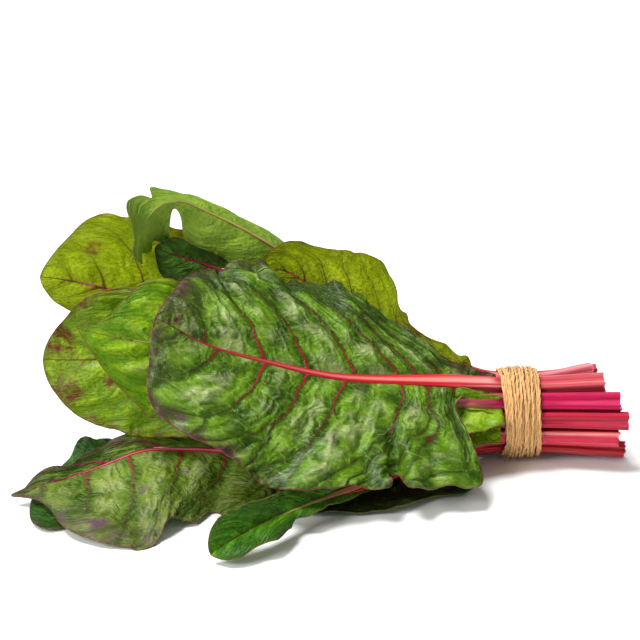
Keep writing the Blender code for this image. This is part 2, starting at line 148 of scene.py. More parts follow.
@dataclass(frozen=True)
class Grain:
    """Repeatable noise over a plane, the same for the same seed."""

    seed: int

    def scatter(self, i: Array, j: Array, salt: int = 0) -> Array:
        """Gives every grid square its own number.

        Args:
            i: whole numbers along the first axis.
            j: whole numbers along the second axis.
            salt: picks another set of numbers.

        Returns:
            Numbers from 0 to 1.
        """
        i, j = np.asarray(i).astype(np.int64), np.asarray(j).astype(np.int64)
        mixed = (i * 374761393 + j * 668265263 + (self.seed * 7919 + salt) * 1274126177) & 0xFFFFFFFF
        mixed = ((mixed ^ (mixed >> 13)) * 1274126177) & 0xFFFFFFFF
        mixed = ((mixed ^ (mixed >> 15)) * 1597334677) & 0xFFFFFFFF
        return ((mixed ^ (mixed >> 16)) & 0xFFFFFF) / float(0x1000000)

    def lumps(self, x: Array, y: Array, salt: int = 0) -> Array:
        """Smooth noise whose lumps are about one unit across.

        Args:
            x: places along the first axis.
            y: places along the second axis.
            salt: picks another pattern.

        Returns:
            Values from about -1 to 1.
        """
        x, y = np.broadcast_arrays(np.asarray(x, float), np.asarray(y, float))
        i, j = np.floor(x), np.floor(y)
        fx, fy = x - i, y - j
        ease_x = fx**3 * (fx * (fx * 6 - 15) + 10)
        ease_y = fy**3 * (fy * (fy * 6 - 15) + 10)
        total = np.zeros_like(x)
        for di in (0, 1):
            for dj in (0, 1):
                turn = 2 * math.pi * self.scatter(i + di, j + dj, salt)
                slope = np.cos(turn) * (fx - di) + np.sin(turn) * (fy - dj)
                share = (ease_x if di else 1 - ease_x) * (ease_y if dj else 1 - ease_y)
                total = total + slope * share
        return 1.6 * total

    def cell_edges(self, x: Array, y: Array, salt: int = 0) -> Array:
        """Distance to the edges of irregular cells about one unit across.

        Args:
            x: places along the first axis.
            y: places along the second axis.
            salt: picks another pattern.

        Returns:
            0 on an edge, growing to about 0.4 in the middle of a cell.
        """
        i, j = np.floor(x), np.floor(y)
        nearest = np.full(x.shape, 9.0)
        second = np.full(x.shape, 9.0)
        for di in (-1, 0, 1):
            for dj in (-1, 0, 1):
                px = i + di + 0.5 + 0.8 * (self.scatter(i + di, j + dj, salt) - 0.5)
                py = j + dj + 0.5 + 0.8 * (self.scatter(i + di, j + dj, salt + 1) - 0.5)
                away = np.hypot(x - px, y - py)
                second = np.minimum(second, np.maximum(nearest, away))
                nearest = np.minimum(nearest, away)
        return (second - nearest) / 2


@dataclass
class NodeSheet:
    """The node tree of one material, with its nodes kept by name.

    Inputs that share a name are given by number. A MapRange has its value at 0, the value's range at 1 and 2
    and the result's range at 3 and 4. A Mix of colours has its share at 0 and its colours at 6 and 7, and
    its result is output 2. A Math node has its numbers at 0, 1 and 2.
    """

    name: str
    made: dict[str, bpy.types.Node] = field(default_factory=dict)

    def __post_init__(self) -> None:
        """Makes the empty material."""
        self.material = bpy.data.materials.new(self.name)
        self.material.use_nodes = True
        self.tree = self.material.node_tree
        self.tree.nodes.clear()

    def output(self, reference: str) -> bpy.types.NodeSocket:
        """Finds an output of an earlier node.

        Args:
            reference: "node" for its first output, or "node.output" with the output's name or number.

        Returns:
            The socket.
        """
        name, _, socket = reference.partition(".")
        outputs = self.made[name].outputs
        return outputs[int(socket) if socket.isdigit() else socket or 0]

    def add(self, name: str, kind: str, inputs: dict | None = None, **settings: object) -> str:
        """Adds a node with its settings and links.

        Args:
            name: the name that later nodes link to.
            kind: Blender's name of the node type, without "ShaderNode".
            inputs: for an input's name or number, a value or a reference to an earlier output.
            settings: the node's own properties.

        Returns:
            The node's name.
        """
        node = self.tree.nodes.new("ShaderNode" + kind)
        node.name = node.label = name
        for key, value in settings.items():
            setattr(node, key, value)
        for key, value in (inputs or {}).items():
            if isinstance(value, str) and not value.startswith("#"):
                self.tree.links.new(self.output(value), node.inputs[key])
            else:
                node.inputs[key].default_value = linear(value) if isinstance(value, str) else value
        self.made[name] = node
        return name

    def read(self, *names: str) -> None:
        """Adds a node for each named value that the mesh holds at its points."""
        for name in names:
            self.add(name, "Attribute", attribute_name=name)


@dataclass(frozen=True)
class BladeFinish:
    """A fresh chard blade: living tissue under a thin natural wax.

    The wax gives a soft gloss that breaks up on every pucker, and the tissue lets warm green light through.
    The veins of this kind hold the red beet dye, which also tints the margin and old patches.
    """

    # dark also paints the shade in low tissue and beside the veins, and light the highlight on raised tissue
    # and crease crests.
    dark: str = "#2B5006"
    mid: str = "#5C8A18"
    light: str = "#B0C868"
    net: str = "#86A63C"
    underside: str = "#7F9C56"
    vein: str = "#B40E2C"
    vein_end: str = "#541018"
    margin: str = "#6A2430"
    tint: str = "#4E2A34"
    glow: str = "#A8C814"
    translucence: float = 0.2
    roughness: float = 0.36
    sheen_gloss: float = 0.1
    patch_size: float = 0.022  # metres from one darker patch to the next
    red_veins: float = 1.0  # how far the lateral veins carry the dye, from 0 to 1
    crease: float = 0.8  # how sharply the creases stand out
    crease_highlight: float = 0.35  # how much paler their crests are painted, as a highlight
    crease_length: float = 7.0  # millimetres that a crease runs on along the veins
    ridge_highlight: float = 0.35  # how much paler the raised tissue is painted: partly its own paler tone, partly a painted highlight

    def material(self, name: str) -> bpy.types.Material:
        """Builds the material.

        Args:
            name: the material's name.

        Returns:
            The material.
        """
        s = NodeSheet(name)
        s.read("vein", "gap", "fork", "breadth", "across", "spine", "share", "edge", "net", "relief")
        s.read("tint", "under", "beside", "out")
        s.add("flat", "UVMap", uv_map="UVMap")

        # Lateral veins: a line wherever the vein count is whole, moved out by the fork near the margin.
        s.add("count", "Math", {0: "vein.Fac", 1: 0.5}, operation="PINGPONG")
        s.add("distance", "Math", {0: "count", 1: "gap.Fac"}, operation="MULTIPLY")
        s.add("off_fork", "Math", {0: "distance", 1: "fork.Fac"}, operation="SUBTRACT")
        s.add("off_line", "Math", {0: "off_fork"}, operation="ABSOLUTE")
        s.add("ratio", "Math", {0: "off_line", 1: "breadth.Fac"}, operation="DIVIDE")
        s.add("lateral", "MapRange", {0: "ratio", 1: 1.25, 2: 0.55}, interpolation_type="SMOOTHSTEP")
        # Painted shade: a darker band beside each vein.
        s.add("halo", "MapRange", {0: "ratio", 1: 4.5, 2: 1.0, 4: 0.5}, interpolation_type="SMOOTHSTEP")
        s.add("spine_ratio", "Math", {0: "across.Fac", 1: "spine.Fac"}, operation="DIVIDE")
        s.add("spine_line", "MapRange", {0: "spine_ratio", 1: 1.2, 2: 0.7}, interpolation_type="SMOOTHSTEP")
        s.add("fade", "MapRange", {0: "share.Fac", 1: 0.45, 3: self.red_veins, 4: 0.5 * self.red_veins})
        s.add("red_line", "Math", {0: "lateral", 1: "fade"}, operation="MULTIPLY")
        s.add("veins", "Math", {0: "red_line", 1: "spine_line"}, operation="MAXIMUM")

        # Creases of the tissue, drawn out along the lateral veins; the scales are per millimetre.
        s.add("weft", "CombineXYZ", {0: "beside.Fac", 1: "out.Fac"})
        s.add("drawn", "Mapping", {"Vector": "weft", "Scale": (0.28, 1 / self.crease_length, 1.0)})
        s.add(
            "creases",
            "TexNoise",
            {"Vector": "drawn", "Scale": 1.0, "Detail": 4.0, "Roughness": 0.5, "Lacunarity": 2.1},
            noise_type="RIDGED_MULTIFRACTAL",
            normalize=True,
        )
        # Painted highlight: the crests of the creases are paler.
        s.add("crest", "MapRange", {0: "creases", 1: 0.57, 2: 0.82, 4: self.crease_highlight})
        s.add("lumpy", "TexNoise", {"Vector": "weft", "Scale": 0.3, "Detail": 3.0, "Roughness": 0.55})

        # Greens: broad patches; low tissue darker and raised puckers paler, each partly the tissue's own tone
        # and partly painted shade and highlight; fine mottling and the pale net of small veins.
        s.add("patches", "TexNoise", {"Vector": "flat", "Scale": 1 / self.patch_size, "Detail": 4.0})
        s.add("patch", "MapRange", {0: "patches", 1: 0.34, 2: 0.62})
        s.add("greens", "Mix", {0: "patch", 6: self.dark, 7: self.mid}, data_type="RGBA")
        height = {0: "relief.Fac", 1: 0.4}
        # Low tissue is painted darker (partly own tone, partly painted shade), raised tissue paler (partly
        # own tone, partly painted highlight).
        s.add("raised", "MapRange", height | {2: 0.95, 4: self.ridge_highlight}, interpolation_type="SMOOTHSTEP")
        s.add("sunk", "MapRange", height | {2: 0.08, 4: 0.75}, interpolation_type="SMOOTHSTEP")
        s.add("hollows", "Mix", {0: "sunk", 6: "greens.2", 7: self.dark}, data_type="RGBA")
        s.add("ridges", "Mix", {0: "raised", 6: "hollows.2", 7: self.light}, data_type="RGBA")
        s.add("creased", "Mix", {0: "crest", 6: "ridges.2", 7: self.light}, data_type="RGBA")
        s.add("specks", "TexNoise", {"Vector": "flat", "Scale": 480.0, "Detail": 3.0, "Roughness": 0.7})
        s.add("speck", "MapRange", {0: "specks", 1: 0.3, 2: 0.7, 3: 0.62, 4: 1.25})
        s.add("mottled", "Mix", {0: 1.0, 6: "creased.2", 7: "speck"}, data_type="RGBA", blend_type="MULTIPLY")
        cell = {0: "net.Fac", 1: 0.55, 2: 0.1, 4: 0.2}
        s.add("net_line", "MapRange", cell, interpolation_type="SMOOTHSTEP")
        s.add("netted", "Mix", {0: "net_line", 6: "mottled.2", 7: self.net}, data_type="RGBA")

        # Dye: tinted margin zone and blotches, the margin's own line, and the veins over all, with painted
        # shade in a band beside each vein.
        s.add("blotches", "TexNoise", {"Vector": "flat", "Scale": 110.0, "Detail": 5.0, "Roughness": 0.65})
        s.add("blotch", "MapRange", {0: "blotches", 1: 0.35, 2: 0.62})
        s.add("dye", "Math", {0: "blotch", 1: "tint.Fac"}, operation="MULTIPLY", use_clamp=True)
        s.add("dyed", "Mix", {0: "dye", 6: "netted.2", 7: self.tint}, data_type="RGBA")
        s.add("haloed", "Mix", {0: "halo", 6: "dyed.2", 7: self.dark}, data_type="RGBA")
        s.add("ageing", "MapRange", {0: "share.Fac", 1: 0.08, 2: 0.7})
        s.add("vein_red", "Mix", {0: "ageing", 6: self.vein, 7: self.vein_end}, data_type="RGBA")
        s.add("veined", "Mix", {0: "veins", 6: "haloed.2", 7: "vein_red.2"}, data_type="RGBA")
        s.add("rim", "MapRange", {0: "edge.Fac", 1: 1.0, 2: 0.4, 4: 0.7}, interpolation_type="SMOOTHSTEP")
        s.add("rimmed", "Mix", {0: "rim", 6: "veined.2", 7: self.margin}, data_type="RGBA")
        s.add("below", "Math", {0: "under.Fac", 1: 0.5}, operation="MULTIPLY")
        s.add("colour", "Mix", {0: "below", 6: "rimmed.2", 7: self.underside}, data_type="RGBA")

        # Wax: uneven gloss over tissue cells about half a millimetre wide.
        s.add("cells", "TexVoronoi", {"Vector": "flat", "Scale": 1300.0})
        s.add("fine", "TexNoise", {"Vector": "flat", "Scale": 260.0, "Detail": 4.0, "Roughness": 0.6})
        s.add("skin", "Math", {0: "cells", 1: 0.25, 2: "fine"}, operation="MULTIPLY_ADD")
        s.add("grain", "Bump", {"Strength": 0.4, "Distance": 0.0005, "Height": "skin"})
        s.add("dimples", "Bump", {"Strength": 0.7, "Distance": 0.003, "Height": "lumpy", "Normal": "grain"})
        folded = {"Strength": self.crease, "Distance": 0.0016, "Height": "creases", "Normal": "dimples"}
        s.add("bump", "Bump", folded)
        least, most = self.roughness - 0.06, self.roughness + 0.1
        s.add("gloss", "MapRange", {0: "patches", 1: 0.3, 2: 0.7, 3: least, 4: most})
        s.add("dull", "Math", {0: "under.Fac", 1: 0.2, 2: "gloss"}, operation="MULTIPLY_ADD")
        s.add(
            "surface",
            "BsdfPrincipled",
            {
                "Base Color": "colour.2",
                "Roughness": "dull",
                "IOR": 1.42,
                "Specular IOR Level": 0.24,
                "Coat Weight": self.sheen_gloss,
                "Coat Roughness": 0.22,
                "Coat IOR": 1.4,
                "Normal": "bump",
            },
        )
        s.add("through", "Mix", {0: 0.4, 6: "colour.2", 7: self.glow}, data_type="RGBA")
        s.add("light_through", "BsdfTranslucent", {"Color": "through.2", "Normal": "bump"})
        s.add("tissue", "MixShader", {0: self.translucence, 1: "surface", 2: "light_through"})
        s.add("finished", "OutputMaterial", {"Surface": "tissue"})
        return s.material


@dataclass(frozen=True)
class StalkFinish:
    """A freshly cut chard stalk: crisp, watery and ribbed like celery, full of red dye.

    The moist skin gives a clear, narrow gloss, and the ribs show as paler and darker streaks along it; the
    hollows between them are painted darker as shade.
    """

    # face is the lighter upper face and flank the darker sides, partly the stalk's own reds and partly
    # painted highlight and shade.
    face: str = "#C83848"
    flank: str = "#8E1028"
    # streak also paints the highlight along one upper corner and along the midrib's top.
    streak: str = "#EE9A90"
    # deep also paints the shade in the hollows between the ribs.
    deep: str = "#4E0618"
    rib: str = "#D8433F"
    rib_end: str = "#93203A"
    cut: str = "#D98C92"
    streaks: float = 0.6  # how far the pale streaks show
    brow: float = 0.15  # how far a painted highlight along one upper corner pales it to the streaks' colour
    rib_turn: float = 1.0  # share of the midrib's length over which its colour changes
    rib_onset: float = 0.2  # share of it over which the stalk takes the midrib's colour

    def material(self, name: str) -> bpy.types.Material:
        """Builds the material.

        Args:
            name: the material's name.

        Returns:
            The material.
        """
        s = NodeSheet(name)
        s.read("crest", "rib", "cut", "hollow", "brow")
        s.add("flat", "UVMap", uv_map="UVMap")

        # Skin: fibre bundles about a millimetre wide run along the stalk as paler and darker streaks. The
        # upper face is lighter and the flanks darker, partly the stalk's own reds and partly painted
        # highlight and shade.
        s.add("fibres", "Mapping", {"Vector": "flat", "Scale": (900.0, 18.0, 1.0)})
        s.add("broad_streaks", "TexNoise", {"Vector": "fibres", "Scale": 0.5, "Detail": 2.0})
        fine = {"Vector": "fibres", "Scale": 1.6, "Detail": 3.0, "Roughness": 0.65}
        s.add("fine_streaks", "TexNoise", fine)
        s.add("facing", "MapRange", {0: "crest.Fac", 1: -0.3, 2: 0.75}, interpolation_type="SMOOTHSTEP")
        s.add("body", "Mix", {0: "facing", 6: self.flank, 7: self.face}, data_type="RGBA")
        s.add("pale", "MapRange", {0: "broad_streaks", 1: 0.5, 2: 0.72, 4: self.streaks})
        s.add("streaked", "Mix", {0: "pale", 6: "body.2", 7: self.streak}, data_type="RGBA")
        s.add("corner", "Math", {0: "brow.Fac", 1: self.brow}, operation="MULTIPLY")
        s.add("browed", "Mix", {0: "corner", 6: "streaked.2", 7: self.streak}, data_type="RGBA")
        s.add("dark", "MapRange", {0: "fine_streaks", 1: 0.48, 2: 0.34, 4: 0.45})
        s.add("grooved", "Mix", {0: "dark", 6: "browed.2", 7: self.deep}, data_type="RGBA")
        # Painted shade: the hollows between the ribs are darker.
        s.add("valley", "MapRange", {0: "hollow.Fac", 1: 0.4, 2: 1.0, 4: 0.5})
        s.add("shaded", "Mix", {0: "valley", 6: "grooved.2", 7: self.deep}, data_type="RGBA")

        # Midrib: its own red, with painted shade down both sides and a painted highlight line along the top
        # near the stalk.
        s.add("turning", "MapRange", {0: "rib.Fac", 2: self.rib_turn})
        s.add("rib_red", "Mix", {0: "turning", 6: self.rib, 7: self.rib_end}, data_type="RGBA")
        s.add("on_rib", "MapRange", {0: "rib.Fac", 1: 0.0, 2: self.rib_onset, 4: 0.85})
        s.add("ribbed", "Mix", {0: "on_rib", 6: "shaded.2", 7: "rib_red.2"}, data_type="RGBA")
        side = {0: "crest.Fac", 1: 0.84, 2: 0.45, 4: 0.85}
        s.add("shoulder", "MapRange", side, interpolation_type="SMOOTHSTEP")
        s.add("rib_side", "Math", {0: "shoulder", 1: "on_rib"}, operation="MULTIPLY")
        s.add("rimmed", "Mix", {0: "rib_side", 6: "ribbed.2", 7: self.flank}, data_type="RGBA")
        s.add("top_line", "MapRange", {0: "crest.Fac", 1: 0.92, 2: 1.0}, interpolation_type="SMOOTHSTEP")
        s.add("near_base", "MapRange", {0: "rib.Fac", 1: 0.0, 2: 0.8, 3: 0.7, 4: 0.0})
        s.add("lit_line", "Math", {0: "top_line", 1: "near_base"}, operation="MULTIPLY")
        s.add("only_rib", "MapRange", {0: "rib.Fac", 1: 0.0, 2: 0.02})
        s.add("line", "Math", {0: "lit_line", 1: "only_rib"}, operation="MULTIPLY")
        s.add("lined", "Mix", {0: "line", 6: "rimmed.2", 7: self.streak}, data_type="RGBA")

        # Cut end: pale pith with darker vessel bundles about one and a half millimetres apart.
        s.add("bundles", "TexVoronoi", {"Vector": "flat", "Scale": 700.0})
        s.add("pith", "MapRange", {0: "bundles", 1: 0.15, 2: 0.5, 3: 0.55, 4: 1.0})
        s.add("cut_face", "Mix", {0: "pith", 6: self.flank, 7: self.cut}, data_type="RGBA")
        s.add("colour", "Mix", {0: "cut.Fac", 6: "lined.2", 7: "cut_face.2"}, data_type="RGBA")
        s.add("skin", "Bump", {"Strength": 0.4, "Distance": 0.0004, "Height": "fine_streaks"})
        s.add("dry", "Math", {0: "cut.Fac", 1: 0.3, 2: 0.3}, operation="MULTIPLY_ADD")
        s.add(
            "surface",
            "BsdfPrincipled",
            {
                "Base Color": "colour.2",
                "Roughness": "dry",
                "IOR": 1.4,
                "Specular IOR Level": 0.3,
                "Coat Weight": 0.2,
                "Coat Roughness": 0.18,
                "Coat IOR": 1.4,
                "Normal": "skin",
            },
        )
        s.add("out", "OutputMaterial", {"Surface": "surface"})
        return s.material


@dataclass(frozen=True)
class TwineFinish:
    """Jute twine: coarse bast fibre, retted, spun and twisted in two plies.

    The long straw-coloured fibres give a dry matt surface with fine streaks along each ply.
    """

    straw: str = "#C2823A"
    pale: str = "#F0CC8C"
    shade: str = "#5A3410"

    def material(self, name: str) -> bpy.types.Material:
        """Builds the material.

        Args:
            name: the material's name.

        Returns:
            The material.
        """
        s = NodeSheet(name)
        s.read("hollow")
        s.add("flat", "UVMap", uv_map="UVMap")
        s.add("fibres", "Mapping", {"Vector": "flat", "Scale": (2400.0, 160.0, 1.0)})
        s.add("strands", "TexNoise", {"Vector": "fibres", "Scale": 1.0, "Detail": 3.0, "Roughness": 0.7})
        s.add("mix", "MapRange", {0: "strands", 1: 0.3, 2: 0.7})
        s.add("spun", "Mix", {0: "mix", 6: self.straw, 7: self.pale}, data_type="RGBA")
        s.add("lengths", "TexNoise", {"Vector": "flat", "Scale": 60.0, "Detail": 2.0})
        s.add("uneven", "MapRange", {0: "lengths", 1: 0.35, 2: 0.65, 4: 0.35})
        s.add("aged", "Mix", {0: "uneven", 6: "spun.2", 7: self.straw}, data_type="RGBA")
        # Painted shade: each ply is darker where it turns towards the other.
        s.add("between", "MapRange", {0: "hollow.Fac", 1: 0.25, 2: 1.0, 4: 0.85})
        s.add("colour", "Mix", {0: "between", 6: "aged.2", 7: self.shade}, data_type="RGBA")
        s.add("fuzz", "Bump", {"Strength": 0.8, "Distance": 0.0004, "Height": "strands"})
        s.add(
            "surface",
            "BsdfPrincipled",
            {"Base Color": "colour.2", "Roughness": 0.85, "Sheen Weight": 0.2, "Normal": "fuzz"},
        )
        s.add("out", "OutputMaterial", {"Surface": "surface"})
        return s.material


@dataclass(frozen=True)
class Spot:
    """A patch where the dye or age shows, on one half of a blade."""

    far: bool  # on the far half, or on the near one
    along: float  # share of the blade's length
    across: float  # share of the way to the margin
    radius: float  # millimetres
    strength: float = 1.0


@dataclass(frozen=True)
class Lobe:
    """A lobe of a blade's margin, or a notch where it reaches inward."""

    far: bool  # on the far half, or on the near one
    along: float  # share of the blade's length
    reach: float  # millimetres outward
    breadth: float  # share of the blade's length


@dataclass(frozen=True)
class Fold:
    """A rounded ridge of a blade, or a furrow where its height is negative, that grows from start to end."""

    far: bool
    start: tuple[float, float]  # shares of the blade's length and of the way to the margin
    end: tuple[float, float]
    height: float  # millimetres
    breadth: float  # millimetres


@dataclass(frozen=True)
class Leaf:
    """One chard leaf: its lines as the solids have them, and how its surface looks.

    A station of the blade is x, y, z, then width, angle and curl of the far half and of the near half.
    """

    name: str
    butt: tuple[float, float, float]  # the middle of the cut end
    tie: tuple[float, float]  # y and z of the stalk where it passes the tie
    stalk: tuple[float, float]  # width and depth
    roll: float  # the way that the stalk's upper face looks
    waypoints: tuple[tuple[float, float, float], ...]  # between the tie and the blade
    blade: tuple[tuple[float, ...], ...]  # stations from the blade's start to its tip
    reach_back: tuple[float, float] = (0.0, 0.0)  # of the far and the near half's basal lobe
    ruffle: float = 4.0  # height of the margin's waves
    waves: float = 3.0  # how many of them run along a half
    phase: float = 0.0  # where they start, in turns
    green: BladeFinish = BladeFinish()
    red: StalkFinish = StalkFinish()
    outward: Face = Face.UPPER
    pucker: float = 1.0  # height of the puckers, as a share of the usual
    rib_scale: float = 1.0  # how much the midrib stands out
    far_veins: tuple[float, ...] = (0.05, 0.17, 0.30, 0.43, 0.56, 0.68, 0.79, 0.88)
    near_veins: tuple[float, ...] = (0.09, 0.22, 0.35, 0.48, 0.61, 0.72, 0.82, 0.91)
    sweep: tuple[float, float] = (0.28, 0.28)  # how far the veins run on towards the tip, in shares
    sweep_bend: tuple[float, float] = (0.6, 0.6)  # how much of that comes near the margin, from 0 to 1
    vein_scale: float = 1.0
    lobes: tuple[Lobe, ...] = ()
    folds: tuple[Fold, ...] = ()
    tint_from: float = 0.86  # where the dyed zone along the margin begins, as a share of the way to it
    tip_tint: float = 0.0  # extra dye towards the tip
    spots: tuple[Spot, ...] = ()
    rows: int = 170
    columns: int = 56
    seed: int = 1


# Sizes that all leaves share: lengths in millimetres, shares of the blade's length.
TIE_X = 134.0  # the middle of the tie along the bunch
TIE_CENTRE = np.array([24.0, 30.0])  # y and z of the middle of the tied stalks
TIE_CLEARANCE = 0.5  # between the stalks and the twine
STRAIGHT_RUN = 12.0  # how far each stalk runs straight to either side of the tie's middle
STALK_TO_RIB = 0.72  # size of the midrib where the blade starts, as a share of the stalk's
RIB_END = 0.78  # the share where the midrib ends and the two halves meet
RIB_TIP = (1.8, 1.6)  # width and depth of the midrib there
TIP_START = 0.86  # the share where the tip starts to round off
MARGIN_WIDTH = 1.6  # the least width of a half
LOBE_END = 0.3  # the share over which a basal lobe reaches back
LOBES = 2.6  # waves of a half's outline
LOBE_DEPTH = 0.045  # their depth, as a share of the half's width
ROUTE_SAMPLES = 900

BRIGHT = BladeFinish(
    dark="#5E8E04", mid="#98BE08", light="#CCDC66", net="#A4C04E", underside="#8FAE55", margin="#8A4A30",
    vein="#7E5A2A", vein_end="#7A7A2A", glow="#B8D810", translucence=0.3, roughness=0.4, tint="#6A4A1C",
    red_veins=0.55, crease=0.6, crease_length=3.2, patch_size=0.012,
)
# A pale yellow-green, partly the leaves' own colour and partly a painted glow of light through them.
YELLOW = BladeFinish(
    dark="#8A9C00", mid="#A8BC04", light="#C6D030", net="#B6C436", underside="#A9BA48", margin="#7A4A20",
    vein="#6A1018", vein_end="#5E2A10", glow="#DCE80C", translucence=0.5, roughness=0.5, tint="#7A4A14",
    sheen_gloss=0.05, crease=0.5, crease_length=3.0, patch_size=0.012,
)
GREEN = BladeFinish(
    dark="#1A4204", mid="#3A7010", light="#7CAA44", net="#6C9A34", underside="#6F9450", vein="#8E2038",
    vein_end="#4A2A2A", margin="#5E3030", roughness=0.34,
)

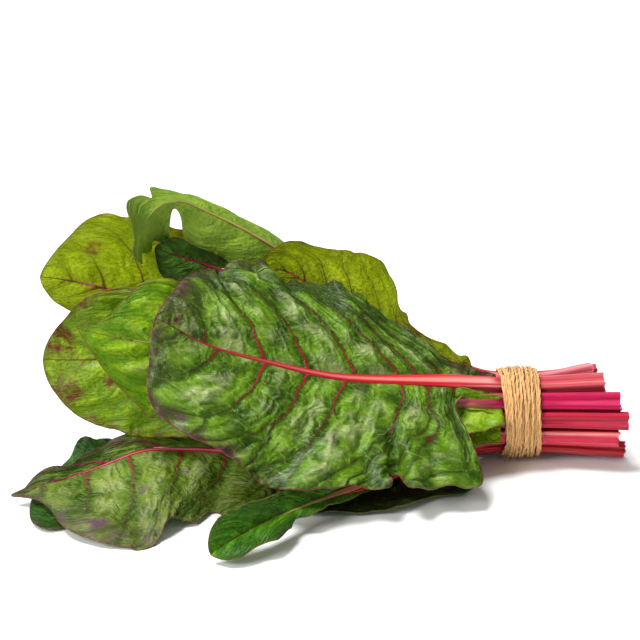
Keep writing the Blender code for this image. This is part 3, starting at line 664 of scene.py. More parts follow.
LEAVES = (
    Leaf(
        "front", (191, 15, 54.5), (15, 52.5), (13, 10), 110, (),
        (
            (118, 13.3, 53.3, 7, 62, 0, 7, 200, 0),
            (108, 12.6, 54.2, 9, 62, 0, 9, 200, 0),
            (98, 11, 55.4, 12.5, 60, 0, 10, 198, 0),
            (88, 8.6, 57.2, 15, 60, -18, 13, 201, 6),
            (79, 6.6, 58.4, 20, 60, -20, 30, 203, 14),
            (71, 5, 59.4, 30, 60, -30, 70, 203, 17),
            (55, 2, 61, 48, 60, -40, 82, 199, 17),
            (10, -8, 68, 81, 58, -52, 85, 203, 18),
            (-35, -18, 83, 82, 56, -54, 82, 209, 20),
            (-75, -25, 99, 74, 54, -48, 62, 217, 16),
            (-98, -26, 113, 62, 54, -40, 38, 228, 12),
            (-104, -26, 116, 47, 54, -40, 26, 230, 12),
        ),
        reach_back=(0, 105), ruffle=4.0, waves=3.4, phase=0.1,
        green=BladeFinish(
            dark="#264402", mid="#628A10", light="#E4E8AC", net="#A4C050", tint="#46302A", glow="#9CC41E",
            roughness=0.34, sheen_gloss=0.12, translucence=0.1, crease=1.0, crease_highlight=0.95, vein="#A00A24",
            vein_end="#440A14", crease_length=9.0, ridge_highlight=0.27, patch_size=0.02,
        ),
        red=StalkFinish(face="#BC4850", flank="#86081E", streak="#EEA49C", rib="#D81E1C", rib_end="#7A1024"),
        far_veins=(0.06, 0.15, 0.225, 0.285, 0.405, 0.55, 0.68, 0.85),
        near_veins=(0.12, 0.205, 0.276, 0.44, 0.55, 0.67, 0.81),
        sweep=(0.44, 0.22), sweep_bend=(0.65, 0.4), vein_scale=1.3, pucker=1.25, tip_tint=0.9,
        rib_scale=1.5,
        spots=(
            Spot(True, 0.94, 0.1, 4.0, 1.0), Spot(True, 0.02, 0.6, 16, 2.5), Spot(False, 0.0, 0.5, 12, 2.5),
            Spot(True, 0.10, 0.95, 12, 1.2), Spot(False, 0.86, 0.93, 9, 0.9), Spot(True, 0.97, 0.8, 8, 1.0),
        ),
        lobes=(
            Lobe(False, 0.345, -13, 0.018), Lobe(False, 0.30, 3, 0.03), Lobe(False, 0.39, 4, 0.03),
            Lobe(True, 0.72, -5, 0.014), Lobe(True, 0.61, -6, 0.016), Lobe(True, 0.53, 3, 0.04),
            Lobe(True, 0.80, 2, 0.04), Lobe(True, 0.40, -3, 0.02), Lobe(False, 0.16, -4, 0.015),
        ),
        folds=(
            Fold(False, (0.33, 0.5), (0.345, 1.0), -6, 4), Fold(False, (0.37, 0.45), (0.385, 1.0), 4.5, 5),
            Fold(False, (0.30, 0.45), (0.30, 1.0), 4.5, 5), Fold(False, (0.24, 0.35), (0.235, 1.0), -4, 4.5),
            Fold(False, (0.19, 0.3), (0.18, 1.0), 4, 6), Fold(False, (0.13, 0.4), (0.12, 1.0), -3.5, 4),
            Fold(False, (0.49, 0.3), (0.56, 1.0), 2.5, 7), Fold(False, (0.62, 0.3), (0.71, 1.0), 2.5, 7),
            Fold(True, (0.66, 0.3), (0.80, 1.0), 3, 7), Fold(True, (0.55, 0.3), (0.70, 1.0), 2.5, 6),
            Fold(True, (0.62, 0.4), (0.74, 1.0), -3, 4), Fold(True, (0.45, 0.3), (0.60, 1.0), 2, 7),
            Fold(True, (0.74, 0.25), (0.90, 0.85), 3, 3.5), Fold(True, (0.70, 0.3), (0.86, 0.9), -2.5, 3),
            Fold(True, (0.58, 0.45), (0.70, 0.9), 2.5, 3), Fold(True, (0.34, 0.3), (0.46, 1.0), 2, 5),
            Fold(False, (0.38, 0.2), (0.44, 0.7), -3.5, 3.5),
            Fold(False, (0.50, 0.15), (0.58, 0.6), -3.5, 3.5),
        ),
        rows=240, columns=94, seed=11,
    ),
    Leaf(
        "folded_middle", (200, 1, 46), (3.5, 45), (12, 10.5), 140, (),
        (
            (120.5, 3.4, 45, 10, 118, 0, 20, 208, 0),
            (109, 3.2, 45, 11, 118, 0, 23, 206, 0),
            (99, 3.1, 45, 12, 110, 0, 27, 206, 0),
            (88, 3, 45, 10, 85, 0, 26, 212, 0),
            (60, 0, 48, 7, 70, 0, 13, 240, 0),
            (15, -1, 56, 15, 66, 0, 26, 242, 0),
            (-35, -5, 71, 23, 66, -10, 36, 246, 0),
            (-75, -11, 85, 40, 67, -10, 42, 250, 0),
            (-104, -14, 94, 46, 68, -5, 42, 251, 0),
            (-130, -16, 99, 27, 70, 0, 27, 252, 0),
            (-146, -16, 103, 8, 72, 0, 15, 252, 0),
            (-155, -16, 106, 5, 72, 0, 8, 252, 0),
        ),
        ruffle=2.0, waves=2.4, phase=0.35, green=BRIGHT,
        red=StalkFinish(
            face="#AE1244", flank="#740A24", streak="#DC4C74", rib="#7E3430", rib_end="#9AB040", rib_turn=0.3,
            rib_onset=0.05,
        ),
        lobes=(
            Lobe(False, 0.62, -4, 0.03), Lobe(False, 0.5, 3, 0.04), Lobe(False, 0.78, 4, 0.05),
            Lobe(True, 0.80, -3, 0.02),
        ),
        folds=(
            Fold(True, (0.5, 0.2), (0.72, 0.9), 4, 7), Fold(False, (0.55, 0.3), (0.75, 0.9), 3, 5),
            Fold(False, (0.45, 0.3), (0.6, 1.0), -3, 5), Fold(True, (0.6, 0.3), (0.8, 0.6), -3, 4),
        ),
        pucker=1.0, seed=12,
    ),
    Leaf(
        "left_middle", (205, -6, 35.5), (-1.5, 34.5), (11.2, 10.5), 168, (),
        (
            (120.5, -1.3, 34.4, 8, 130, 0, 17, 214, 0),
            (109, 0, 34.4, 10, 130, 0, 20, 214, 0),
            (100, 1, 34.2, 10, 120, 0, 25, 214, 0),
            (88, 3, 34, 6, 90, 0, 20, 218, 0),
            (60, 6, 35, 7, 72, 0, 8, 236, 0),
            (10, 9, 44, 18, 70, 0, 17, 236, 0),
            (-40, 5, 60, 32, 74, 0, 36, 236, 0),
            (-85, 1, 74, 43, 73, 0, 53, 236, 0),
            (-120, 0, 79, 47, 72, 0, 50, 237, 0),
            (-155, 0, 77, 38, 72, 0, 41, 238, 0),
            (-174, 0, 77, 34, 72, 0, 38, 238, 0),
            (-182, 0, 77, 30, 72, 0, 34, 238, 0),
        ),
        ruffle=2.5, waves=2.8, phase=0.6,
        green=BladeFinish(
            dark="#688E00", mid="#96B808", light="#CCDA5C", net="#98B634", underside="#8FAE55",
            margin="#6A3A22", vein="#9A2038", vein_end="#6E3A22", tint="#6B2F18", glow="#B0CC0C",
            translucence=0.35, roughness=0.42, sheen_gloss=0.15, crease=0.6, crease_length=3.2,
            patch_size=0.012,
        ),
        red=StalkFinish(
            face="#A8142E", flank="#9C0818", streak="#D8506C", rib="#8A2430", rib_end="#8A2038",
            rib_onset=0.05,
        ),
        spots=(
            Spot(True, 0.965, 0.6, 12, 2.4), Spot(False, 0.95, 0.75, 12, 2.2),
            Spot(False, 0.86, 0.35, 6, 1.2), Spot(True, 0.91, 0.95, 6, 1.4), Spot(False, 0.9, 0.98, 6, 1.4),
        ),
        lobes=(
            Lobe(True, 0.92, 3, 0.03), Lobe(True, 0.78, -4, 0.04), Lobe(True, 0.66, 4, 0.05),
            Lobe(False, 0.9, 3, 0.04), Lobe(False, 0.72, -3, 0.05),
        ),
        folds=(
            Fold(True, (0.6, 0.2), (0.8, 1.0), 4, 7), Fold(True, (0.55, 0.3), (0.7, 0.9), -3, 5),
            Fold(False, (0.5, 0.3), (0.68, 1.0), 4, 8), Fold(False, (0.62, 0.4), (0.8, 0.9), -3, 5),
            Fold(False, (0.4, 0.3), (0.56, 1.0), -4, 6),
        ),
        pucker=1.2, tip_tint=0.4, vein_scale=1.1, rows=190, columns=64, seed=13,
    ),
    Leaf(
        "upper_left", (188, 20, 22.5), (19.5, 22.5), (16.5, 13.5), 62, ((75, 30, 38),),
        (
            (20, 37, 56, 5, 62, 0, 8, 245, 0),
            (-20, 40, 69, 10, 62, 0, 24, 245, 0),
            (-58, 42, 82, 16, 64, 0, 30, 246, 0),
            (-78, 43, 87, 37, 66, 0, 32, 247, 0),
            (-95, 44, 93, 56, 67, 0, 31, 247, 0),
            (-124, 45, 103, 53, 68, 0, 28, 248, 0),
            (-155, 45, 113, 48, 68, 0, 22, 248, 0),
            (-180, 45, 118, 28, 68, 0, 20, 248, 0),
            (-189, 45, 119, 18, 68, 0, 16, 248, 0),
        ),
        ruffle=2.5, waves=2.6, phase=0.8, green=YELLOW,
        red=StalkFinish(rib="#C23A4E", rib_end="#C0506A"),
        far_veins=(0.1, 0.25, 0.38, 0.52, 0.66, 0.80, 0.90),
        near_veins=(0.1, 0.25, 0.4, 0.55, 0.69, 0.82, 0.92),
        spots=(Spot(True, 0.86, 0.5, 6, 2.0), Spot(True, 0.66, 0.92, 16, 1.4), Spot(True, 0.72, 0.8, 6, 0.9)),
        lobes=(
            Lobe(False, 0.60, -9, 0.04), Lobe(False, 0.78, 5, 0.05), Lobe(True, 0.8, -3, 0.03),
            Lobe(True, 0.9, 3, 0.04), Lobe(True, 0.7, 3, 0.04),
        ),
        folds=(Fold(True, (0.55, 0.2), (0.75, 1.0), 4, 9), Fold(False, (0.6, 0.2), (0.7, 1.0), 3, 5)),
        pucker=0.8, vein_scale=1.7, rows=180, columns=60, seed=14,
    ),
    Leaf(
        "inner_dark", (195, 28, 37), (27, 36.5), (16.5, 13.5), 62, ((65, 37, 57),),
        (
            (5, 46, 76, 5, 58, 0, 10, 215, 0),
            (-30, 53, 98, 4, 58, 0, 14, 215, 0),
            (-60, 52, 118, 7, 62, 0, 20, 218, 0),
            (-85, 46, 130, 10, 66, 0, 20, 224, 0),
            (-104, 42, 138, 12, 70, 0, 16, 230, 0),
            (-110, 41, 141, 8, 70, 0, 10, 230, 0),
        ),
        ruffle=1.5, waves=1.5, phase=0.2,
        green=BladeFinish(
            dark="#305408", mid="#5C8A1C", light="#8CB450", vein="#7A1C34", vein_end="#4A2028", red_veins=0.5,
            margin="#2A3A18",
        ),
        red=StalkFinish(rib="#8E1A38", rib_end="#6A1A30"),
        pucker=0.9, vein_scale=0.6, rows=150, columns=40, seed=15,
    ),
    Leaf(
        "upper_right", (186, 32, 56.5), (30, 50.5), (12, 10.5), 76, (),
        (
            (104, 34, 50.5, 4, 60, 0, 4, 190, 0),
            (92, 37, 53, 9, 75, 0, 12, 175, 0),
            (78, 42, 60.5, 12, 62, 0, 14, 180, 0),
            (62, 50, 70.5, 9, 46, 0, 8, 205, 0),
            (50, 54, 76.5, 14, 46, 0, 9, 213, 0),
            (42, 56.5, 80.5, 28, 45, 0, 10, 213, 0),
            (30, 60, 86, 37, 46, 0, 11, 213, 0),
            (0, 66, 100, 37, 49, -10, 17, 212, 0),
            (-22, 68, 114, 24, 52, -10, 13, 212, 0),
            (-43, 64, 121, 10, 58, -10, 9, 205, 0),
        ),
        reach_back=(14, 0), ruffle=3.0, waves=2.8, phase=0.45, green=YELLOW,
        lobes=(
            Lobe(True, 0.36, 4, 0.02), Lobe(True, 0.42, -3, 0.02), Lobe(True, 0.55, 2, 0.03),
            Lobe(True, 0.66, -2, 0.02), Lobe(True, 0.05, 5, 0.04),
        ),
        red=StalkFinish(
            face="#D8707A", flank="#A82840", streak="#FAD8C4", streaks=0.9, brow=0.9, rib="#C0203C",
            rib_end="#A02A30",
        ),
        pucker=0.8, vein_scale=1.1, rows=150, columns=50, seed=16,
    ),
    Leaf(
        "arched_top", (192, 49, 47), (43.5, 44.5), (12, 10.5), 39, ((82, 62, 54), (52, 77, 67)),
        (
            (22, 91, 93, 6, 0, -40, 6, 215, 0),
            (-20, 88, 118, 36, 6, -60, 18, 208, 25),
            (-52, 77, 142, 42, 6, -62, 29, 209, 30),
            (-76, 69, 157, 36, 4, -60, 29, 210, 30),
            (-96, 59, 168, 24, -6, -40, 17, 214, 20),
            (-110, 45, 166, 14, 15, 0, 22, 238, 0),
            (-117, 34, 155, 13, 65, 0, 26, 254, 0),
            (-119, 27, 143, 14, 80, 0, 30, 262, 30),
            (-117, 25, 135, 13, 80, 0, 30, 265, 40),
        ),
        ruffle=1.5, waves=2.0, phase=0.15,
        green=BladeFinish(
            dark="#587E02", mid="#86A80C", light="#CCDA74", net="#9CBC44", underside="#A2C24A",
            vein="#7A8F30", vein_end="#6F9030", margin="#7A5A30", glow="#B4D41C", translucence=0.3,
            red_veins=0.3, roughness=0.4, sheen_gloss=0.08, crease=0.6, crease_length=3.2, ridge_highlight=0.5,
        ),
        red=StalkFinish(rib="#A8BC50", rib_end="#8AA848"),
        rib_scale=0.6,
        lobes=(
            Lobe(False, 0.55, 5, 0.05), Lobe(False, 0.72, -12, 0.045), Lobe(False, 0.81, 9, 0.04),
            Lobe(False, 0.89, -8, 0.015), Lobe(False, 0.95, 6, 0.03), Lobe(True, 0.78, -8, 0.02),
            Lobe(True, 0.86, 7, 0.04), Lobe(True, 0.93, -5, 0.012),
        ),
        outward=Face.UNDER, pucker=0.9, rows=180, columns=56, seed=17,
    ),
    Leaf(
        "ground_left", (199, -7, 24), (-1, 22.5), (11.2, 10.5), 195, ((60, -4, 22),),
        (
            (0, -11, 18, 5, 60, 0, 12, 200, 0),
            (-50, -16, 17, 10, 50, 0, 54, 190, 8),
            (-85, -20, 21, 15, 50, 0, 62, 188, 14),
            (-115, -28, 24, 15, 52, 0, 74, 187, 14),
            (-142, -38, 18, 12, 55, 0, 80, 186, 8),
            (-165, -47, 13, 10, 50, 0, 64, 184, 4),
            (-178, -51, 11, 9, 45, 0, 38, 184, 4),
            (-188, -55, 8, 5, 40, 0, 9, 190, 0),
            (-197, -57, 7, 4, 40, 0, 5, 190, 0),
        ),
        ruffle=2.5, waves=3.0, phase=0.7,
        green=BladeFinish(
            dark="#3A5806", mid="#78922A", light="#C6CC88", net="#A0B45C", tint="#6A5058", vein="#A8183A",
            vein_end="#6A2840", margin="#7A3A4A", roughness=0.36, glow="#A8CC3A", translucence=0.3,
            crease_length=4.0,
        ),
        red=StalkFinish(
            face="#C4183E", flank="#8E0C24", streak="#F0B0A0", brow=0.6, streaks=0.2, rib="#B01C40",
            rib_end="#8E2240",
        ),
        far_veins=(0.1, 0.3, 0.5, 0.68, 0.84), near_veins=(0.12, 0.3, 0.45, 0.62, 0.76, 0.9),
        sweep=(0.3, 0.2), sweep_bend=(0.6, 0.8),
        lobes=(
            Lobe(False, 0.35, -6, 0.04), Lobe(False, 0.44, 4, 0.04), Lobe(False, 0.70, 3, 0.05),
            Lobe(True, 0.8, -3, 0.03),
        ),
        folds=(
            Fold(True, (0.3, 0.3), (0.5, 1.0), 2.5, 4), Fold(True, (0.45, 0.3), (0.65, 1.0), 2.5, 4),
            Fold(False, (0.3, 0.2), (0.34, 1.0), -4, 6), Fold(False, (0.5, 0.2), (0.56, 1.0), 3, 8),
            Fold(False, (0.62, 0.3), (0.7, 1.0), -3, 5),
        ),
        spots=(
            Spot(False, 0.62, 0.5, 6, 1.2), Spot(False, 0.45, 0.35, 5, 1.2), Spot(False, 0.8, 0.75, 8, 1.0),
        ),
        tint_from=0.5, tip_tint=0.35, pucker=1.0, vein_scale=1.3, rows=190, columns=76, seed=18,
    ),
    Leaf(
        "ground_left_under", (194, 41, 9), (37.5, 11.5), (12, 10.5), 125, ((60, 22, 8),),
        (
            (0, -2, 6.5, 6, 10, 0, 6, 180, 0),
            (-60, -30, 5, 26, 14, 0, 12, 182, 0),
            (-110, -50, 4, 46, 18, 0, 18, 181, 0),
            (-145, -55, 3.5, 54, 21, 4, 24, 181, 0),
            (-170, -54, 3.5, 49, 20, 4, 37, 181, 0),
            (-184, -50, 3.5, 32, 16, 0, 18, 181, 0),
        ),
        ruffle=1.0, waves=2.2, phase=0.3, green=GREEN, pucker=0.7, rows=170, columns=54, seed=19,
    ),
    Leaf(
        "ground_curled", (206, 6, 9), (9, 11), (12, 10.5), 53, ((92, -2, 12), (60, -25, 13)),
        (
            (29, -52, 12, 5, 60, 0, 5, 200, 0),
            (0, -76, 13, 12, 70, 0, 9, 150, 60),
            (-20, -94, 14, 15, 74, 0, 13, 140, 100),
            (-37, -110, 14, 16, 72, 0, 14, 144, 90),
            (-52, -121, 11, 17, 68, 0, 16, 160, 60),
            (-65, -129, 6, 14, 65, 0, 13, 175, 30),
        ),
        ruffle=2.5, waves=2.5, phase=0.0,
        green=BladeFinish(
            dark="#2C6004", mid="#62A018", light="#AACC66", net="#7CAA3C", margin="#6A5A24", vein="#7A2A2A",
            red_veins=0.25, roughness=0.32,
        ),
        red=StalkFinish(
            face="#D4142E", flank="#A80A1A", streaks=0.2, rib="#C03A2A", rib_end="#4E8A28", rib_turn=0.3,
            rib_onset=0.1,
        ),
        lobes=(Lobe(False, 0.5, -3, 0.04), Lobe(False, 0.7, 4, 0.06), Lobe(True, 0.4, 4, 0.05)),
        pucker=1.0, rows=150, columns=40, seed=20,
    ),
    Leaf(
        "ground_under", (190, 24, 7.5), (23.5, 9), (12, 10.5), 89, (),
        (
            (88, 15, 6, 4, 0, 0, 6, 183, 0),
            (76, 7, 5, 8, 0, 0, 44, 183, 0),
            (45, -12, 4.5, 12, 0, 0, 50, 183, 0),
            (10, -28, 4.5, 14, 0, 0, 50, 183, 0),
            (-25, -42, 4, 12, 0, 0, 34, 182, 0),
            (-52, -52, 4, 8, 0, 0, 16, 182, 0),
        ),
        ruffle=0.8, waves=2.5, phase=0.5,
        # Its greens are painted very dark, as the shade it lies in under the other leaves.
        green=BladeFinish(dark="#12240A", mid="#1E3C0C", light="#4A6A26", margin="#5A5A2A"),
        pucker=0.6, rows=160, columns=50, seed=21,
    ),
    Leaf(
        "back_lower", (187, 52, 20), (46.5, 21), (12, 10.5), -23, (),
        (
            (90, 54, 19, 4, -10, 0, 4, 165, 0),
            (55, 66, 16, 26, -10, 0, 20, 166, 0),
            (0, 80, 13, 40, -13, 0, 36, 167, 0),
            (-60, 84, 10, 40, -11, 0, 40, 168, 0),
            (-100, 78, 8, 34, -8, 0, 34, 170, 0),
            (-130, 70, 6, 22, -3, 0, 22, 172, 0),
        ),
        ruffle=2.0, waves=2.6, phase=0.9, green=GREEN, rows=180, columns=50, seed=22,
    ),
    Leaf(
        "back_upper", (194, 56, 34), (49.5, 33.5), (12, 10.5), 8, (),
        (
            (97, 58, 36, 4, -50, 0, 4, 110, 0),
            (80, 64, 39, 20, -50, 0, 13, 95, 0),
            (45, 76, 50, 38, -52, 0, 22, 120, 0),
            (0, 84, 60, 46, -54, 0, 24, 124, 0),
            (-50, 85, 64, 46, -55, 0, 34, 122, 0),
            (-95, 80, 62, 38, -55, 0, 34, 120, 0),
            (-130, 74, 56, 24, -52, 0, 22, 118, 0),
        ),
        ruffle=2.0, waves=2.4, phase=0.55,
        green=BladeFinish(dark="#33620F", mid="#5A8E1C", light="#93B64E", roughness=0.36),
        rows=180, columns=54, seed=23,
    ),
)


@dataclass
class Route:
    """The line of a leaf from its cut end to its tip, with a frame that doesn't twist about it."""

    leaf: Leaf

    def __post_init__(self) -> None:
        """Lays the line on even lengths and carries the frame along it."""
        leaf = self.leaf
        straight = [(TIE_X + step * STRAIGHT_RUN, *leaf.tie) for step in (1, 0.8, -0.8, -1)]
        base = [station[:3] for station in leaf.blade]
        points = np.array([leaf.butt, *straight, *leaf.waypoints, *base], float)
        knots = chord_lengths(points)
        share = np.linspace(0, 1, ROUTE_SAMPLES)
        line = smooth(knots, points, share * knots[-1])
        length = chord_lengths(line)
        self.knots = np.interp(knots, share * knots[-1], length)
        self.lengths = np.linspace(0, length[-1], ROUTE_SAMPLES)
        self.points = np.stack([np.interp(self.lengths, length, line[:, k]) for k in range(3)], 1)
        self.tangents = unit(np.gradient(self.points, axis=0))
        self.blade_knots = self.knots[-len(leaf.blade) :]
        self.blade_start = self.blade_knots[0]
        self.end = length[-1]
        self.across = self.carried(np.array([0.0, 1.0, 0.0]))
        self.up = np.cross(self.across, self.tangents)

    def carried(self, first: Array) -> Array:
        """Carries a direction along the line, square to it and without twisting.

        Args:
            first: the direction to start with at the cut end.

        Returns:
            The direction at each point of the line.
        """
        carried = []
        for tangent in self.tangents:
            first = first - tangent * (first @ tangent)
            first = first / np.linalg.norm(first)
            carried.append(first)
        return np.array(carried)

    def at(self, lengths: Array, values: Array) -> Array:
        """Reads one of the line's arrays at distances from the cut end."""
        return np.stack([np.interp(lengths, self.lengths, values[:, k]) for k in range(3)], -1)

    def direction(self, lengths: Array, degrees: Array) -> Array:
        """Returns the direction square to the line at an angle about it, at each distance."""
        angle = np.radians(degrees)[..., None]
        return self.at(lengths, self.across) * np.cos(angle) + self.at(lengths, self.up) * np.sin(angle)

    def rib_size(self, share: Array) -> Array:
        """Returns the midrib's width and depth at shares of the blade's length."""
        thin = np.clip(share / RIB_END, 0, 1)[..., None] ** 0.8
        return np.array(self.leaf.stalk) * STALK_TO_RIB * (1 - thin) + np.array(RIB_TIP) * thin


def build_mesh(
    name: str,
    points: Array,
    faces: Array,
    values: dict[str, Array],
    flat: Array,
    material: bpy.types.Material,
) -> bpy.types.Object:
    """Makes a smooth mesh object that rides on the bunch.

    Args:
        name: the piece's name.
        points: places in the leaf tables' frame, in millimetres.
        faces: four point numbers for each face; a triangle repeats its last.
        values: for each name, a value at each point that the material reads.
        flat: for each point, its place on the flattened surface, in millimetres.
        material: the finish.

    Returns:
        The object.
    """
    four = faces[:, 3] != faces[:, 2]
    totals = np.where(four, 4, 3)
    keep = np.ones(faces.shape, bool)
    keep[:, 3] = four
    corners = faces[keep]
    mesh = bpy.data.meshes.new(name)
    mesh.vertices.add(len(points))
    mesh.vertices.foreach_set("co", ((points - ORIGIN) * MM).astype(np.float32).ravel())
    mesh.loops.add(len(corners))
    mesh.loops.foreach_set("vertex_index", corners.astype(np.int32))
    mesh.polygons.add(len(faces))
    starts = np.concatenate([[0], np.cumsum(totals)[:-1]])
    mesh.polygons.foreach_set("loop_start", starts.astype(np.int32))
    mesh.update(calc_edges=True)
    mesh.polygons.foreach_set("use_smooth", np.ones(len(faces), bool))
    for key, numbers in values.items():
        mesh.attributes.new(key, "FLOAT", "POINT").data.foreach_set("value", numbers.astype(np.float32))
    layer = mesh.uv_layers.new(name="UVMap")
    layer.data.foreach_set("uv", (flat[corners] * MM).astype(np.float32).ravel())
    mesh.materials.append(material)
    made = bpy.data.objects.new(name, mesh)
    bpy.context.scene.collection.objects.link(made)
    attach(made, BODY)
    return made


@dataclass(frozen=True)
class Puckers:
    """One size of the puckers that the tissue between the veins is raised in."""

    breadth: float  # millimetres across the lateral veins
    length: float  # millimetres along them
    follow: float  # how far they follow the bends of the tissue, from 0 to 1
    weight: float
    salt: int


PUCKERS = (
    Puckers(12.0, 21.0, 1.0, 1.0, 4),
    Puckers(6.5, 12.0, 0.5, 0.45, 6),
    Puckers(3.0, 5.5, 0.3, 0.16, 7),
)


@dataclass
class HalfBlade:
    """One half of a blade as a grid of rows along the midrib and columns out to the margin."""

    leaf: Leaf
    route: Route
    side: int  # 1 for the far half, -1 for the near one
    thickness: float = 0.6  # lengths and heights are in millimetres
    rows_before_tip: float = 0.86  # share of the rows; the rest lie closer together
    vein_step: float = 0.11  # share of the length between laterals beyond the listed ones
    vein_pitch: float = 21.0  # the usual distance between lateral veins
    valley_width: float = 3.0  # how far a lateral vein holds the tissue down beside it
    bend_height: float = 3.0  # how far the puckers wander
    bend_length: float = 11.0
    dome_height: float = 2.5
    billow_height: float = 1.9
    pleat_height: float = 0.9
    roll_height: float = 1.8
    fine_height: float = 0.1
    frill_height: float = 1.3
    frill_width: float = 12.0  # how far in from the margin the frill starts
    cord_height: float = 0.35  # how far a lateral vein stands out of the tissue
    crinkles: tuple[tuple[float, float, int], ...] = ((13.0, 0.9, 31), (5.0, 0.4, 32))  # length, height, salt

    def __post_init__(self) -> None:
        """Builds the sheet and its surface values."""
        self.grain = Grain(self.leaf.seed * 2 + (self.side > 0))
        inner = np.linspace(0, TIP_START, int(self.leaf.rows * self.rows_before_tip), endpoint=False)
        quarter = np.linspace(0, math.pi / 2, self.leaf.rows - len(inner))
        self.rows = np.concatenate([inner, TIP_START + (1 - TIP_START) * np.sin(quarter)])
        self.columns = np.linspace(0, 1, self.leaf.columns)
        self.lay_sheet()
        self.measure_edge()
        self.lay_veins()
        self.raise_relief()

    def lay_sheet(self) -> None:
        """Lays the half on its table's lines, with its lobes, margin waves and small crinkles."""
        leaf, route, rows, columns = self.leaf, self.route, self.rows, self.columns
        first = 3 if self.side > 0 else 6
        table = np.array(leaf.blade, float)[:, first : first + 3]
        self.lengths = route.blade_start + rows * (route.end - route.blade_start)
        width, angle, curl = smooth(route.blade_knots, table, self.lengths).T
        turn = 2 * math.pi * (leaf.phase + 0.37 * self.side)
        lobes = 1 + LOBE_DEPTH * np.sin(2 * math.pi * LOBES * rows + turn)
        rounding = np.sqrt(1 - np.clip((rows - TIP_START) / (1 - TIP_START), 0, 1) ** 2)
        slit = np.where(rows < RIB_END, min(leaf.rib_scale, 1.0) * route.rib_size(rows)[:, 0] / 2 - 0.1, 0.0)
        self.open_width = np.maximum(width, 6.0)
        for lobe in leaf.lobes:
            if lobe.far == (self.side > 0):
                width = width + lobe.reach * np.exp(-(((rows - lobe.along) / lobe.breadth) ** 2))
        width = width * rounding * lobes
        narrow = np.clip(width / 20, 0, 1)
        for length, height, salt in self.crinkles:
            width = width + height * self.grain.lumps(self.lengths / length, 0.5, salt) * narrow
        width = np.maximum(width, slit + MARGIN_WIDTH * rounding + 0.05)
        self.reach = slit[:, None] + (width - slit)[:, None] * columns[None, :]
        self.width = width

        bend = np.radians(curl)[:, None] * self.reach / width[:, None]
        rate = np.radians(curl)[:, None] / width[:, None]
        rate = np.where(np.abs(rate) < 1e-7, 1e-7, rate)
        along = np.sin(rate * self.reach) / rate
        aside = (1 - np.cos(rate * self.reach)) / rate
        outward = route.direction(self.lengths, angle)[:, None, :]
        sideways = route.direction(self.lengths, angle + 90)[:, None, :]
        points = route.at(self.lengths, route.points)[:, None, :]
        points = points + outward * along[..., None] + sideways * aside[..., None]
        upper = self.side * (sideways * np.cos(bend)[..., None] - outward * np.sin(bend)[..., None])
        back = leaf.reach_back[0 if self.side > 0 else 1] * (width / width.max()) ** 1.4
        back = (back * np.clip(1 - rows / LOBE_END, 0, 1))[:, None] * columns[None, :] ** 1.5
        points = points - route.at(self.lengths, route.tangents)[:, None, :] * back[..., None]
        self.along = (self.lengths - route.blade_start)[:, None] - back

        fade = np.sin(math.pi * np.clip(rows, 0, 1))[:, None] ** 0.5
        wave = np.sin(2 * math.pi * leaf.waves * rows + 1.7 * turn)[:, None]
        lift = leaf.ruffle * columns[None, :] ** 2 * fade * wave
        points = points + upper * lift[..., None]

        # The true normals of the sheet, on the same side as the table's.
        self.points = points
        slope_row, slope_column = np.gradient(points, axis=0), np.gradient(points, axis=1)
        normals = unit(np.cross(slope_row, slope_column))
        facing = np.sign(np.sum(normals * upper, axis=-1, keepdims=True))
        self.normals = unit(normals * np.where(facing == 0, 1, facing) + 0.15 * upper)

    def measure_edge(self) -> None:
        """Measures how far each point lies from the margin, on the flattened half."""
        flat = np.stack([self.along, self.reach], -1).reshape(-1, 1, 2)
        outline = np.stack([self.along[:, -1], self.reach[:, -1]], -1)
        start, run = outline[None, :-1], np.diff(outline, axis=0)[None]
        share = np.sum((flat - start) * run, -1) / np.maximum(np.sum(run * run, -1), 1e-9)
        nearest = start + run * np.clip(share, 0, 1)[..., None]
        self.edge = np.min(np.linalg.norm(flat - nearest, axis=-1), 1).reshape(self.reach.shape)
        self.outness = self.reach / (self.reach + self.edge + 1e-6)

    def lay_veins(self) -> None:
        """Counts the lateral veins over the half: they lie where the count is a whole number."""
        leaf = self.leaf
        pick = 0 if self.side > 0 else 1
        shares = np.array(leaf.far_veins if self.side > 0 else leaf.near_veins)
        before = shares[0] - self.vein_step * np.arange(3, 0, -1)
        after = shares[-1] + self.vein_step * np.arange(1, 4)
        stations = np.concatenate([before, shares, after])
        rows = self.rows[:, None]
        open_share = self.reach / self.open_width[:, None]
        sweep = leaf.sweep[pick] * ramp(rows, 0.0, 0.45)
        bend = leaf.sweep_bend[pick]
        away = (1 - bend) * open_share + bend * open_share**2.6
        wobble = 0.009 * self.grain.lumps(self.along / 15, self.reach / 11, 5) * ramp(open_share, 0, 0.2)
        source = rows - sweep * away + wobble
        self.count = np.interp(source, stations, np.arange(len(stations)) - 3.0)

        grow_row = np.gradient(self.count, axis=0) / np.maximum(np.gradient(self.along, axis=0), 0.05)
        grow_column = np.gradient(self.count, axis=1) / np.maximum(np.gradient(self.reach, axis=1), 0.02)
        self.gap = np.clip(1 / np.maximum(np.hypot(grow_row, grow_column), 1e-4), 3, 60)
        whole = np.round(self.count)
        start = 0.5 + 0.28 * self.grain.scatter(whole, whole * 0, 9)
        spread = np.clip((self.outness - start) / (1 - start), 0, 1)
        self.fork = spread * 0.42 * self.gap * (0.6 + 0.6 * self.grain.scatter(whole, whole * 0, 10))
        offset = np.abs(self.count - whole) * self.gap
        self.vein_distance = np.abs(offset - self.fork)
        taper = 0.14 + 0.3 * (1 - self.outness) ** 1.3 + 0.55 * np.exp(-self.reach / 6)
        self.breadth = leaf.vein_scale * taper * (1 - 0.6 * ramp(rows, 0.74, 0.98))

